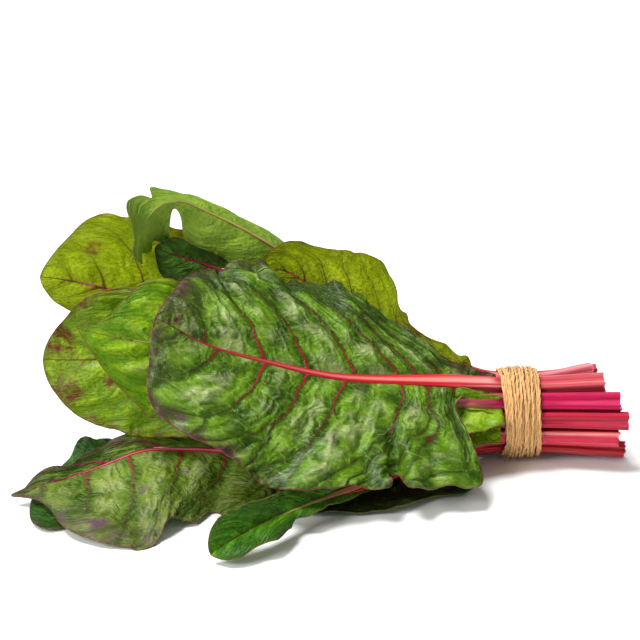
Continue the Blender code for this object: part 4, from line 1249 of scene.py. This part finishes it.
    def raise_folds(self) -> Array:
        """Raises the leaf's own folds.

        Returns:
            Their height at each point, in millimetres.
        """
        height = np.zeros_like(self.reach)
        length = self.route.end - self.route.blade_start
        for fold in self.leaf.folds:
            if fold.far != (self.side > 0):
                continue
            ends = []
            for along, across in (fold.start, fold.end):
                ends.append(np.array([along * length, across * np.interp(along, self.rows, self.width)]))
            run = ends[1] - ends[0]
            place = np.stack([self.along, self.reach], -1) - ends[0]
            share = np.clip(place @ run / (run @ run), 0, 1)
            off = np.linalg.norm(place - share[..., None] * run, axis=-1)
            height = height + fold.height * share**0.8 * np.exp(-((off / fold.breadth) ** 2))
        return height

    def raise_relief(self) -> None:
        """Raises the tissue between the veins in domes, billows and pleats."""
        leaf, grain = self.leaf, self.grain
        rows, columns = self.rows[:, None], self.columns[None, :]
        beside = self.count * self.vein_pitch
        out = self.reach + 0.35 * self.along
        x, y = self.along / self.bend_length, self.reach / self.bend_length
        bend_x, bend_y = (self.bend_height * grain.lumps(x, y, salt) for salt in (2, 3))
        strength = 0.8 + 0.6 * grain.lumps(self.along / 34, self.reach / 28, 1)

        valley = 1 - np.exp(-self.vein_distance / self.valley_width)
        dome = np.sin(math.pi * np.mod(self.count, 1.0)) ** 0.8 * ramp(self.gap, 4, 14)
        billow = np.zeros_like(beside)
        for size in PUCKERS:
            x, y = (beside + size.follow * bend_x) / size.breadth, (out + size.follow * bend_y) / size.length
            billow = billow + size.weight * np.abs(grain.lumps(x, y, size.salt))
        pleat = 1 - 2 * np.abs(grain.lumps((beside + 0.4 * bend_x) / 4.2, out / 26.0, 8))
        rolls = grain.lumps(self.along / 27, self.reach / 24, 9)
        fine = grain.lumps(self.along / 2.2, self.reach / 2.2, 10)
        self.net = grain.cell_edges((beside + bend_x) / 6.5, (out + bend_y) / 8.0, 14) * 7
        self.beside, self.out = beside + 0.7 * bend_x, out + 0.7 * bend_y

        # The midrib and the tip hold the tissue still.
        hold = ramp(self.reach - self.reach[:, :1], 0, 7) * ramp(1 - rows, 0, 0.05)
        relief = self.dome_height * (dome - 0.4) + self.billow_height * (billow - 0.5)
        relief = strength * valley * (relief + self.pleat_height * pleat)
        relief = relief + self.roll_height * rolls + self.fine_height * fine
        relief = leaf.pucker * hold * relief
        cord = np.exp(-((self.vein_distance / (0.6 + self.breadth)) ** 2))
        relief = relief + self.cord_height * leaf.vein_scale * cord * (1 - columns)
        frill = ramp(self.edge, self.frill_width, 0) * grain.lumps(self.along / 8, self.reach / 30, 12)
        relief = relief + self.frill_height * frill * leaf.pucker * hold + self.raise_folds() * hold
        if leaf.outward is Face.UNDER:
            relief = -relief
        # The relief's tone: the material paints raised tissue paler as a highlight and low tissue darker as
        # shade, partly the tissue's own tone.
        tone = 0.55 * np.clip(billow, 0, 1) + 0.3 * np.clip(pleat, 0, 1) + 0.25 * dome
        self.relief_tone = np.clip(tone * valley * (0.6 + 0.5 * strength), 0, 1)
        self.points = self.points + self.normals * relief[..., None]

    def tint(self) -> Array:
        """Finds how far the dye tints each point: the margin zone, the tip and the spots.

        Returns:
            0 for none, 1 and over for full.
        """
        leaf = self.leaf
        rows = self.rows[:, None]
        tint = 0.55 * ramp(self.outness, leaf.tint_from, 1.05) * ramp(rows, 0.1, 0.8)
        tip = np.maximum(ramp(rows, 0.84, 1.0), ramp(rows, 0.5, 0.8) * ramp(self.outness, 0.8, 1.0))
        tint = tint + leaf.tip_tint * tip
        length = self.route.end - self.route.blade_start
        for spot in leaf.spots:
            if spot.far != (self.side > 0):
                continue
            row = int(np.argmin(np.abs(self.rows - spot.along)))
            dx = self.along - spot.along * length
            dy = self.reach - spot.across * self.width[row]
            rough = 1 + 0.35 * self.grain.lumps(self.along / 3, self.reach / 3, 21)
            tint = tint + spot.strength * ramp(np.hypot(dx, dy) * rough, spot.radius, spot.radius * 0.3)
        return np.clip(tint, 0, 1.5)

    def values(self) -> dict[str, Array]:
        """Gathers what the blade's material reads.

        Returns:
            For each value's name, its grid.
        """
        shape = self.reach.shape
        spine = np.where(self.rows < RIB_END, 0.02, 0.15 + 0.85 * (1 - self.rows) / (1 - RIB_END))
        return {
            "vein": self.count,
            "gap": self.gap,
            "fork": self.fork,
            "breadth": self.breadth,
            "across": self.reach,
            "spine": np.broadcast_to(spine[:, None], shape),
            "share": np.clip(self.outness + 0.6 * ramp(self.rows[:, None], 0.7, 0.95), 0, 1),
            "edge": self.edge,
            "net": self.net,
            "relief": self.relief_tone,
            "beside": self.beside,
            "out": self.out,
            "tint": self.tint(),
        }


@dataclass
class Blade:
    """A leaf's blade: a thin closed shell of two halves that meet beyond the end of the midrib."""

    leaf: Leaf
    route: Route

    def build(self) -> bpy.types.Object:
        """Builds the blade and dresses it.

        Returns:
            The blade's object.
        """
        halves = [HalfBlade(self.leaf, self.route, side) for side in (1, -1)]
        rows, columns = len(halves[0].rows), len(halves[0].columns)
        joined = halves[0].rows >= RIB_END
        middle = (halves[0].points[:, 0] + halves[1].points[:, 0]) / 2
        middle_normal = unit(halves[0].normals[:, 0] + halves[1].normals[:, 0])
        points, values, flat = [], {}, []
        for face in (1, -1):
            for half in halves:
                half.points[joined, 0] = middle[joined]
                half.normals[joined, 0] = middle_normal[joined]
                sheet = half.points + half.normals * face * half.thickness / 2
                lowest = ORIGIN[2] + (0.7 if face > 0 else 0.1)
                sheet[..., 2] = np.maximum(sheet[..., 2], lowest)
                points.append(sheet.reshape(-1, 3))
                flat.append(np.stack([half.along, half.reach * half.side], -1).reshape(-1, 2))
                grids = half.values()
                outer = (face > 0) == (self.leaf.outward is Face.UPPER)
                grids["under"] = np.full(half.reach.shape, 0.0 if outer else 1.0)
                for key, grid in grids.items():
                    values.setdefault(key, []).append(grid.ravel())
        faces = self.faces(rows, columns, joined)
        made = build_mesh(
            "blade_" + self.leaf.name + "_sheet",
            np.concatenate(points),
            faces,
            {key: np.concatenate(grids) for key, grids in values.items()},
            np.concatenate(flat),
            self.leaf.green.material("chard_blade_" + self.leaf.name),
        )
        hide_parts("blade_" + self.leaf.name)
        return made

    @staticmethod
    def faces(rows: int, columns: int, joined: Array) -> Array:
        """Lists the faces of the two sheets and of the walls round their edges.

        Args:
            rows: number of rows of points in each half.
            columns: number of columns.
            joined: for each row, whether the halves meet at the first column.

        Returns:
            Four point numbers for each face.
        """
        count = rows * columns
        grid = np.arange(count).reshape(rows, columns)
        far_top, near_top, far_low, near_low = (grid + count * k for k in range(4))
        for far, near in ((far_top, near_top), (far_low, near_low)):
            near[joined, 0] = far[joined, 0]

        def sheet(g: Array, flip: bool) -> Array:
            """Lists the faces of a grid of points, turned over if asked."""
            quads = np.stack([g[:-1, :-1], g[:-1, 1:], g[1:, 1:], g[1:, :-1]], -1).reshape(-1, 4)
            return quads[:, ::-1] if flip else quads

        def wall(top: Array, low: Array, flip: bool) -> Array:
            """Lists the faces between two rows of points, turned over if asked."""
            quads = np.stack([top[:-1], low[:-1], low[1:], top[1:]], -1)
            return quads[:, ::-1] if flip else quads

        made = [sheet(far_top, False), sheet(near_top, True), sheet(far_low, True), sheet(near_low, False)]
        bare = ~(joined[:-1] & joined[1:])
        for top, low, flip in ((far_top, far_low, False), (near_top, near_low, True)):
            made.append(wall(top[:, -1], low[:, -1], flip))
            made.append(wall(top[-1, ::-1], low[-1, ::-1], flip))
            made.append(wall(top[0], low[0], flip))
            inner = wall(top[:, 0], low[:, 0], not flip)
            made.append(inner[bare])
        return np.concatenate(made)


@dataclass
class Stalk:
    """A leaf's stalk and midrib: one ribbed rod from the cut end to near the blade's tip."""

    leaf: Leaf
    route: Route
    ring_step: float = 1.6  # lengths and heights are in millimetres
    sides: int = 56
    groove: float = 0.3  # how far the upper face is hollowed, as a share of the depth
    ridges: int = 9  # ribs round the stalk
    ridge_height: float = 0.3
    flare: float = 0.12  # how much wider it grows at the cut end
    flare_length: float = 60.0
    neck: float = 60.0  # the least length over which the stalk narrows to the midrib
    last_share: float = 0.97  # how far along the blade it runs
    tip_size: float = 0.5  # width and depth at the very end
    ragged: float = 1.6  # how unevenly the stalk is cut
    cut_steps: tuple[float, ...] = (0.18, 0.45, 0.72, 0.93, 1.0)  # sizes of the cut face's rings

    def __post_init__(self) -> None:
        """Sizes the rod along its length and lays out the section round it."""
        leaf, route = self.leaf, self.route
        self.grain = Grain(leaf.seed + 100)
        blade_length = route.end - route.blade_start
        last = route.blade_start + self.last_share * blade_length
        self.lengths = np.linspace(0, last, int(last / self.ring_step))
        self.share = np.clip((self.lengths - route.blade_start) / blade_length, 0, 1)
        tied = route.knots[4]  # where the straight run through the tie ends
        on_rib = ramp(self.lengths, tied, max(route.blade_start, tied + self.neck))[:, None]
        beyond = ramp(self.share, RIB_END, self.last_share)[:, None]
        rib = leaf.rib_scale * route.rib_size(self.share) * (1 - beyond) + self.tip_size * beyond
        self.size = np.array(leaf.stalk) * (1 - on_rib) + rib * on_rib
        first = leaf.blade[0]
        self.roll = leaf.roll + ((first[4] + first[7]) / 2 - leaf.roll) * on_rib[:, 0]

        self.turn = 2 * math.pi * (np.arange(self.sides) + 0.5) / self.sides
        phase = 2 * math.pi * self.grain.scatter(np.array(1), np.array(2))
        ribs = np.cos(self.ridges * self.turn + phase)
        self.ribs = ribs + 0.4 * np.cos(1.7 * self.ridges * self.turn + 2 * phase)

    def lay_rod(self) -> Array:
        """Sweeps the ribbed section along the leaf's line.

        Returns:
            The rings of points, from the ragged cut edge to the tip.
        """
        route, turn = self.route, self.turn
        face, side = route.direction(self.lengths, self.roll), route.direction(self.lengths, self.roll + 90)
        centre = route.at(self.lengths, route.points)
        across, height = np.cos(turn), np.sin(turn)
        hollow = self.groove * np.exp(-((across / 0.5) ** 2)) * (height > 0)
        wander = self.grain.lumps(self.lengths[:, None] / 40, turn[None, :] * 2, 3)
        bare = 1 - 0.75 * ramp(self.share, 0.0, 0.4)[:, None]
        lift = self.ridge_height * bare * (self.ribs[None, :] + 0.5 * wander)
        half = self.size / 2 * (1 + self.flare * ramp(self.lengths, self.flare_length, 0)[:, None])
        square = 1 - 0.2 * bare
        x = np.sign(across) * np.abs(across) ** square * half[:, :1]
        y = np.sign(height) * np.abs(height) ** square * (1 - hollow[None, :] * bare) * half[:, 1:]
        swell = 1 + (lift - self.ridge_height) / np.maximum(self.size[:, :1] / 2, 1.2)
        points = centre[:, None] + side[:, None] * (x * swell)[..., None]
        points = points + face[:, None] * (y * swell)[..., None]
        ragged = self.ragged * self.grain.lumps(turn * 1.6, turn * 0, 4)
        ragged = ragged + 0.8 * self.grain.lumps(turn * 5, turn * 0, 5)
        points[0] += route.tangents[0] * (ragged + 0.6)[:, None]
        points[:, :, 2] = np.maximum(points[:, :, 2], ORIGIN[2] + 0.1)
        return points

    def lay_cut(self, edge: Array) -> Array:
        """Closes the cut end with rings that shrink to its middle, a little torn.

        Args:
            edge: the rod's first ring.

        Returns:
            The rings, the smallest first.
        """
        centre = self.route.at(self.lengths[:1], self.route.points)[0]
        rings = []
        for step in self.cut_steps:
            tear = 0.35 * self.grain.lumps(self.turn * 3, self.turn * 0 + step * 4, 6) * (step < 1)
            raised = self.route.tangents[0] * (tear + 0.5 * (1 - step))[:, None]
            rings.append(centre + (edge - centre) * step + raised)
        return np.array(rings)

    def flatten(self, shape: tuple[int, int]) -> Array:
        """Lays the rod out flat for its material.

        Args:
            shape: number of rings and of points in each, the cut face's rings first.

        Returns:
            The flattened place of each point, in millimetres.
        """
        girth = (self.size[:, 0].mean() + self.size[:, 1].mean()) * 1.4
        cuts = len(self.cut_steps)
        flat = np.empty((*shape, 2))
        flat[:cuts, :, 0] = np.outer(self.cut_steps, np.cos(self.turn) * 6)
        flat[:cuts, :, 1] = np.outer(self.cut_steps, np.sin(self.turn) * 5)
        flat[cuts:, :, 0] = self.turn / (2 * math.pi) * girth
        flat[cuts:, :, 1] = self.lengths[:, None]
        return flat

    def build(self) -> bpy.types.Object:
        """Builds the stalk and dresses it.

        Returns:
            The stalk's object.
        """
        leaf, cuts = self.leaf, len(self.cut_steps)
        points = self.lay_rod()
        rings = np.concatenate([self.lay_cut(points[0]), points])
        shape = rings.shape[:2]
        # crest drives the lighter upper face, brow the painted highlight along one corner, and hollow the
        # painted shade between the ribs.
        values = {
            "crest": np.sin(self.turn)[None, :],
            "rib": np.concatenate([np.zeros(cuts), self.share])[:, None],
            "cut": (np.arange(len(rings)) < cuts).astype(float)[:, None],
            "hollow": np.clip(-self.ribs / 1.4, 0, 1)[None, :],
            "brow": np.exp(-(((self.turn - 2.5) / 0.22) ** 2))[None, :],
        }
        made = build_mesh(
            "stalk_" + leaf.name + "_rod",
            rings.reshape(-1, 3),
            self.faces(len(rings)),
            {key: np.broadcast_to(grid, shape).ravel() for key, grid in values.items()},
            self.flatten(shape).reshape(-1, 2),
            leaf.red.material("chard_stalk_" + leaf.name),
        )
        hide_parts("stalk_" + leaf.name)
        return made

    def faces(self, rings: int) -> Array:
        """Lists the faces between the rings and at both ends.

        Args:
            rings: number of rings.

        Returns:
            Four point numbers for each face; a triangle repeats its last.
        """
        grid = np.arange(rings * self.sides).reshape(rings, self.sides)
        around = np.roll(grid, -1, axis=1)
        made = [np.stack([grid[:-1], around[:-1], around[1:], grid[1:]], -1).reshape(-1, 4)]
        for ring, flip in ((grid[0], True), (grid[-1], False)):
            fan = np.stack([np.full(self.sides - 2, ring[0]), ring[1:-1], ring[2:], ring[2:]], -1)
            if flip:
                fan = fan[:, [0, 2, 1, 1]]
            made.append(fan)
        return np.concatenate(made)


def tube(path: Array, radius: Array, sides: int) -> tuple[Array, Array, Array, Array]:
    """Sweeps a round section along a path.

    Args:
        path: points in millimetres.
        radius: the section's radius at each point.
        sides: number of points round the section.

    Returns:
        The points, the faces, the flattened places and the outward direction of each point.
    """
    tangent = unit(np.gradient(path, axis=0))
    across = np.zeros_like(path)
    direction = np.array([0.31, 0.52, 0.79])  # square to none of the paths
    for k, ahead in enumerate(tangent):
        direction = direction - ahead * (direction @ ahead)
        direction = direction / np.linalg.norm(direction)
        across[k] = direction
    up = np.cross(tangent, across)
    turn = 2 * math.pi * np.arange(sides) / sides
    out = across[:, None] * np.cos(turn)[None, :, None] + up[:, None] * np.sin(turn)[None, :, None]
    points = path[:, None] + out * radius[:, None, None]
    grid = np.arange(len(path) * sides).reshape(len(path), sides)
    around = np.roll(grid, -1, axis=1)
    walls = np.stack([grid[:-1], around[:-1], around[1:], grid[1:]], -1).reshape(-1, 4)
    ends = []
    for ring in (grid[0][::-1], grid[-1]):
        ends.append(np.stack([np.full(sides - 2, ring[0]), ring[1:-1], ring[2:], ring[2:]], -1))
    girth = 2 * math.pi * float(np.mean(radius))
    flat = np.empty((len(path), sides, 2))
    flat[..., 0] = turn / (2 * math.pi) * girth
    flat[..., 1] = chord_lengths(path)[:, None]
    return points.reshape(-1, 3), np.concatenate([walls, *ends]), flat.reshape(-1, 2), out.reshape(-1, 3)


@dataclass(frozen=True)
class TwineLayer:
    """One layer of turns round the stalks, in millimetres."""

    turns: int
    half_width: float
    direction: int  # 1 winds from the leaves towards the cut ends, -1 the other way
    wander: float  # how far the turns stray sideways
    lift: float  # how far the turns stand off the clearance round the stalks


# Where the knot's two short ends run, from the knot, in millimetres.
KNOT_ENDS = (
    ((0, 1.2, 1), (2.5, 2.0, 4), (3.2, 1.8, 9), (4.6, 0.8, 14), (6.0, 0.8, 18)),
    ((-1, 1.2, -1), (-4.0, 2.0, -3), (-7.0, 1.8, -6), (-9.5, 0.8, -10), (-11, 1.4, -14)),
)


@dataclass
class Twine:
    """The jute tie: turns of two-ply twine round the stalks, its knot at the back and its loose fibres.

    Its sizes are in millimetres.
    """

    finish: TwineFinish = TwineFinish()
    layers: tuple[TwineLayer, ...] = (
        TwineLayer(turns=17, half_width=13.6, direction=1, wander=1.1, lift=0.75),
        TwineLayer(turns=7, half_width=9.0, direction=-1, wander=1.7, lift=2.1),
    )
    turn_length: float = 190.0  # about one turn; sets how finely a layer is laid
    slant: float = 2.4  # how far a turn leans along the stalks
    ply_radius: float = 0.62
    ply_offset: float = 0.34  # from the twine's middle to a ply's
    ply_sides: int = 7
    ply_shift: float = 37.0  # sets the second ply's fibres apart from the first's
    twist_length: float = 15.0  # for one turn of the plies about each other
    step: float = 1.0  # between points along the twine
    fibres: int = 700
    fibre_radius: float = 0.11

    def __post_init__(self) -> None:
        """Finds the outline that the twine is pulled tight round."""
        self.grain = Grain(77)
        self.hull = self.outline()

    def outline(self) -> tuple[Array, Array]:
        """Draws the tight outline of all stalks about their middle.

        Returns:
            Its angles, and its radius at each.
        """
        turn = np.radians(np.arange(0, 360, 5))
        circle = np.stack([np.cos(turn), np.sin(turn)], 1)
        points = []
        for leaf in LEAVES:
            face = math.radians(leaf.roll)
            out = np.array([math.cos(face), math.sin(face)])
            side = np.array([-out[1], out[0]])
            section = circle[:, :1] * side * leaf.stalk[0] / 2 + circle[:, 1:] * out * leaf.stalk[1] / 2
            points.append(np.array(leaf.tie) + section)
        points = np.concatenate(points) - TIE_CENTRE
        corners = points[convex_hull_2d([tuple(p) for p in points])]
        share = np.linspace(0, 1, 30, endpoint=False)[:, None]
        following = np.roll(corners, -1, axis=0)
        line = np.concatenate([a + (b - a) * share for a, b in zip(corners, following)])
        angle = np.arctan2(line[:, 1], line[:, 0])
        order = np.argsort(angle)
        at = np.linspace(-math.pi, math.pi, 360, endpoint=False)
        radius = np.interp(at, angle[order], np.linalg.norm(line, axis=1)[order], period=2 * math.pi)
        kernel = np.ones(9) / 9
        radius = np.convolve(np.concatenate([radius[-4:], radius, radius[:4]]), kernel, "valid")
        return at, radius

    def around(self, angle: Array, x: Array, offset: Array) -> Array:
        """Finds points round the stalks.

        Args:
            angle: angles round the stalks, in radians.
            x: places along the stalks.
            offset: distances off the outline.

        Returns:
            The points, in millimetres.
        """
        at, radii = self.hull
        wrapped = np.mod(angle + math.pi, 2 * math.pi) - math.pi
        radius = np.interp(wrapped, at, radii, period=2 * math.pi) + offset
        y = TIE_CENTRE[0] + radius * np.cos(angle)
        z = TIE_CENTRE[1] + radius * np.sin(angle)
        return np.stack([x, y, z], -1)

    def winding(self) -> list[Array]:
        """Lays the paths of the inner turns and of the turns that cross over them.

        Returns:
            One path for each layer.
        """
        paths = []
        for number, layer in enumerate(self.layers):
            steps = int(layer.turns * self.turn_length / self.step)
            angle = np.linspace(0, 2 * math.pi * layer.turns, steps) + math.pi * 0.1
            share = angle / angle[-1] * 2 - 1
            x = share * layer.half_width * layer.direction
            front = np.clip(-np.cos(angle), 0, 1) ** 2
            fan = 1 - 0.3 * front * (x < 0)  # the turns bunch up at the front, on the leaf side
            slant = self.slant * np.cos(angle - math.radians(150))
            wander = layer.wander * self.grain.lumps(angle * 0.8, angle * 0, 11 + number)
            wander = wander + 0.5 * self.grain.lumps(angle * 2.7, angle * 0, 13 + number)
            offset = TIE_CLEARANCE + layer.lift
            offset = offset + 0.25 * self.grain.lumps(angle * 1.3, angle * 0, 15 + number)
            paths.append(self.around(angle, TIE_X + 1.5 + x * fan - slant + wander, offset))
        return paths

    def knot_paths(self) -> list[Array]:
        """Lays the path of the knot at the back and of its two short ends.

        Returns:
            The knot's path, then one for each end.
        """
        back = self.around(np.array([0.0]), np.array([TIE_X - 1.0]), np.array([4.0]))[0]
        turn = np.linspace(0, 2 * math.pi, 90)
        loop = np.stack(
            [
                4.2 * np.sin(turn) + 1.6 * np.sin(2 * turn),
                1.2 * np.cos(3 * turn) + 0.4,
                3.4 * np.cos(turn) - 1.6 * np.cos(2 * turn),
            ],
            1,
        )
        paths = [back + loop]
        for end in KNOT_ENDS:
            tail = np.array(end, float)
            knots = chord_lengths(tail)
            paths.append(back + smooth(knots, tail, np.linspace(0, knots[-1], 40)))
        return paths

    def plies(self, path: Array) -> tuple[Array, Array, Array, Array]:
        """Twists two plies round a path and joins their meshes.

        Args:
            path: points in millimetres.

        Returns:
            The points, the faces, the flattened places and how far each point faces the other ply.
        """
        knots = chord_lengths(path)
        steps = np.linspace(0, knots[-1], max(int(knots[-1] / self.step), 12))
        line = np.stack([np.interp(steps, knots, path[:, k]) for k in range(3)], 1)
        tangent = unit(np.gradient(line, axis=0))
        side = unit(np.cross(tangent, [0.9, 0.2, 0.1]))
        other = np.cross(tangent, side)
        parts, start = [], 0
        for ply in (0, 1):
            turn = 2 * math.pi * steps / self.twist_length + math.pi * ply
            offset = (side * np.cos(turn)[:, None] + other * np.sin(turn)[:, None]) * self.ply_offset
            radius = self.ply_radius * (1 + 0.16 * self.grain.lumps(steps / 3.0, steps * 0 + ply, 41))
            points, faces, flat, out = tube(line + offset, radius, self.ply_sides)
            inward = -np.sum(out * np.repeat(unit(offset), self.ply_sides, axis=0), axis=1)
            flat = flat + [0, ply * self.ply_shift]
            parts.append((points, faces + start, flat, np.clip(inward, 0, 1)))
            start += len(points)
        return tuple(np.concatenate(items) for items in zip(*parts))

    def loose_fibres(self, paths: list[Array]) -> tuple[Array, Array, Array, Array]:
        """Grows thin fibres that stand off the twine.

        Args:
            paths: the paths of the twine's turns and knot.

        Returns:
            The points, the faces, the flattened places and a zero for each point.
        """
        line = np.concatenate(paths)
        centre = np.array([TIE_X, *TIE_CENTRE])
        curl = np.linspace(0, 1, 6)[:, None]
        radius = self.fibre_radius * (1 - 0.7 * curl[:, 0])
        parts, start = [], 0
        for k in range(self.fibres):
            where, reach, stand, way, lean, droop = (
                float(self.grain.scatter(np.array(k), np.array(s), 51)) for s in range(6)
            )
            at = int(where * (len(line) - 2))
            along = unit(line[at + 1] - line[at])
            out = unit((line[at] - centre) * [0, 1, 1])
            length = 3 + 8 * reach**2
            away = out * (0.25 + 0.5 * stand) + along * (1.0 if way > 0.5 else -1.0)
            away = away + np.array([1.0, 0, 0]) * (lean - 0.5) * 1.3
            sag = out * (droop - 0.6) + np.array([0, 0, -0.4])
            path = line[at] + out * 0.8 + unit(away) * length * curl + sag * length * 0.5 * curl**2
            path[:, 2] = np.maximum(path[:, 2], ORIGIN[2] + 0.2)
            points, faces, flat, _ = tube(path, radius, 3)
            parts.append((points, faces + start, flat, np.zeros(len(points))))
            start += len(points)
        return tuple(np.concatenate(items) for items in zip(*parts))

    def build(self) -> list[bpy.types.Object]:
        """Builds the winding, the knot and the fibres, and dresses them.

        Returns:
            The three pieces.
        """
        material = self.finish.material("jute_twine_two_ply")
        winding, knot = self.winding(), self.knot_paths()
        pieces = []
        sets = (
            ("twine_winding", [self.plies(path) for path in winding]),
            ("twine_knot", [self.plies(path) for path in knot]),
            ("twine_fibres", [self.loose_fibres(winding + knot)]),
        )
        for name, parts in sets:
            start, joined = 0, []
            for points, faces, flat, hollow in parts:
                joined.append((points, faces + start, flat, hollow))
                start += len(points)
            points, faces, flat, hollow = (np.concatenate(items) for items in zip(*joined))
            made = build_mesh(name, points, faces, {"hollow": hollow}, flat, material)
            pieces.append(made)
        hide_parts("twine_tie")
        return pieces


@dataclass
class Studio:
    """A pale floor under a white backdrop, the lights and the camera."""

    floor_half: float = 20.0
    floor_colour: str = "#F8F8F7"
    backdrop_radius: float = 19.0
    sun_strength: float = 4.2
    sun_softness: float = 24.0  # degrees across
    sun_from: tuple[float, float, float] = (-0.4, 0.06, 1.0)
    box_place: tuple[float, float, float] = (-0.95, -0.8, 0.8)
    box_size: float = 0.5
    box_power: float = 12.0
    room_light: float = 0.32
    look_at: tuple[float, float, float] = (-0.0077, 0.0036, 0.1049)
    distance: float = 0.95
    elevation: float = 21.0
    lens: float = 82.2

    def build(self) -> None:
        """Builds the floor, the lights, the world and the camera."""
        self.build_floor()
        self.build_backdrop()
        self.build_lights()
        self.build_camera()

    def build_floor(self) -> None:
        """Lays the floor far enough back to fill the view."""
        steps = np.linspace(-self.floor_half, self.floor_half, 9)
        points = [(x, y, 0.0) for y in steps for x in steps]
        wide = len(steps)
        faces = [
            (r * wide + c, r * wide + c + 1, (r + 1) * wide + c + 1, (r + 1) * wide + c)
            for r in range(wide - 1)
            for c in range(wide - 1)
        ]
        mesh = bpy.data.meshes.new("paper_floor")
        mesh.from_pydata(points, [], faces)
        mesh.shade_smooth()
        sheet = NodeSheet("matt_white_paper")
        sheet.add("place", "TexCoord")
        sheet.add("pulp", "TexNoise", {"Vector": "place.Object", "Scale": 900.0, "Detail": 2.0})
        sheet.add("bump", "Bump", {"Strength": 0.05, "Distance": 0.0002, "Height": "pulp"})
        inputs = {"Base Color": self.floor_colour, "Roughness": 0.75, "Normal": "bump"}
        sheet.add("surface", "BsdfPrincipled", inputs)
        sheet.add("out", "OutputMaterial", {"Surface": "surface"})
        mesh.materials.append(sheet.material)
        floor = bpy.data.objects.new("paper_floor", mesh)
        bpy.context.scene.collection.objects.link(floor)
        floor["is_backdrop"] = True

    def build_backdrop(self) -> None:
        """Hangs a plain white dome above the floor; it gives no light, so only its colour shows behind."""
        shell = bmesh.new()
        bmesh.ops.create_icosphere(shell, subdivisions=4, radius=self.backdrop_radius)
        mesh = bpy.data.meshes.new("white_backdrop")
        shell.to_mesh(mesh)
        shell.free()
        sheet = NodeSheet("backlit_white_screen")
        sheet.add("glow", "Emission", {"Color": "#FFFFFF", "Strength": 1.0})
        sheet.add("out", "OutputMaterial", {"Surface": "glow"})
        mesh.materials.append(sheet.material)
        backdrop = bpy.data.objects.new("white_backdrop", mesh)
        bpy.context.scene.collection.objects.link(backdrop)
        backdrop.visible_diffuse = backdrop.visible_glossy = False
        backdrop.visible_transmission = backdrop.visible_shadow = False
        backdrop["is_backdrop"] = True

    def build_lights(self) -> None:
        """Sets a wide sun above and at the left, a soft box at the front and white light all round."""
        world = bpy.data.worlds.new("white_room")
        world.use_nodes = True
        background = world.node_tree.nodes["Background"]
        background.inputs["Color"].default_value = (1.0, 1.0, 1.0, 1.0)
        background.inputs["Strength"].default_value = self.room_light
        bpy.context.scene.world = world
        sun = bpy.data.lights.new("window", "SUN")
        sun.energy = self.sun_strength
        sun.angle = math.radians(self.sun_softness)
        lamp = bpy.data.objects.new("window", sun)
        lamp.rotation_euler = Vector(self.sun_from).to_track_quat("Z", "Y").to_euler()
        bpy.context.scene.collection.objects.link(lamp)
        panel = bpy.data.lights.new("front_box", "AREA")
        panel.shape = "SQUARE"
        panel.size = self.box_size
        panel.energy = self.box_power
        box = bpy.data.objects.new("front_box", panel)
        box.location = self.box_place
        aim = Vector(self.look_at) - box.location
        box.rotation_euler = aim.to_track_quat("-Z", "Y").to_euler()
        bpy.context.scene.collection.objects.link(box)
        bpy.context.scene.view_settings.view_transform = "Standard"

    def build_camera(self) -> None:
        """Sets the camera level with the bunch's length, looking a little down on it."""
        tilt = math.radians(self.elevation)
        back = Vector((0.0, -math.cos(tilt), math.sin(tilt)))
        data = bpy.data.cameras.new("camera")
        data.lens = self.lens
        camera = bpy.data.objects.new("camera", data)
        camera.location = Vector(self.look_at) + back * self.distance
        camera.rotation_euler = (-back).to_track_quat("-Z", "Y").to_euler()
        bpy.context.scene.collection.objects.link(camera)
        bpy.context.scene.camera = camera


def corners() -> list[list[float]]:
    """Returns the shown object's lowest and highest corner as plain numbers."""
    return [list(corner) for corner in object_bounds()]


def main(cad_box: list[list[float]]) -> None:
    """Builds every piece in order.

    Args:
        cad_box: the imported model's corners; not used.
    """
    logging.basicConfig(level=logging.INFO, format="%(name)s: %(message)s")
    Studio().build()
    for leaf in LEAVES:
        route = Route(leaf)
        for piece in (Blade(leaf, route).build(), Stalk(leaf, route).build()):
            LOG.info("%s: %d faces", piece.name, len(piece.data.polygons))
    for piece in Twine().build():
        LOG.info("%s: %d faces", piece.name, len(piece.data.polygons))


if __name__ == "__main__":
    main(corners())
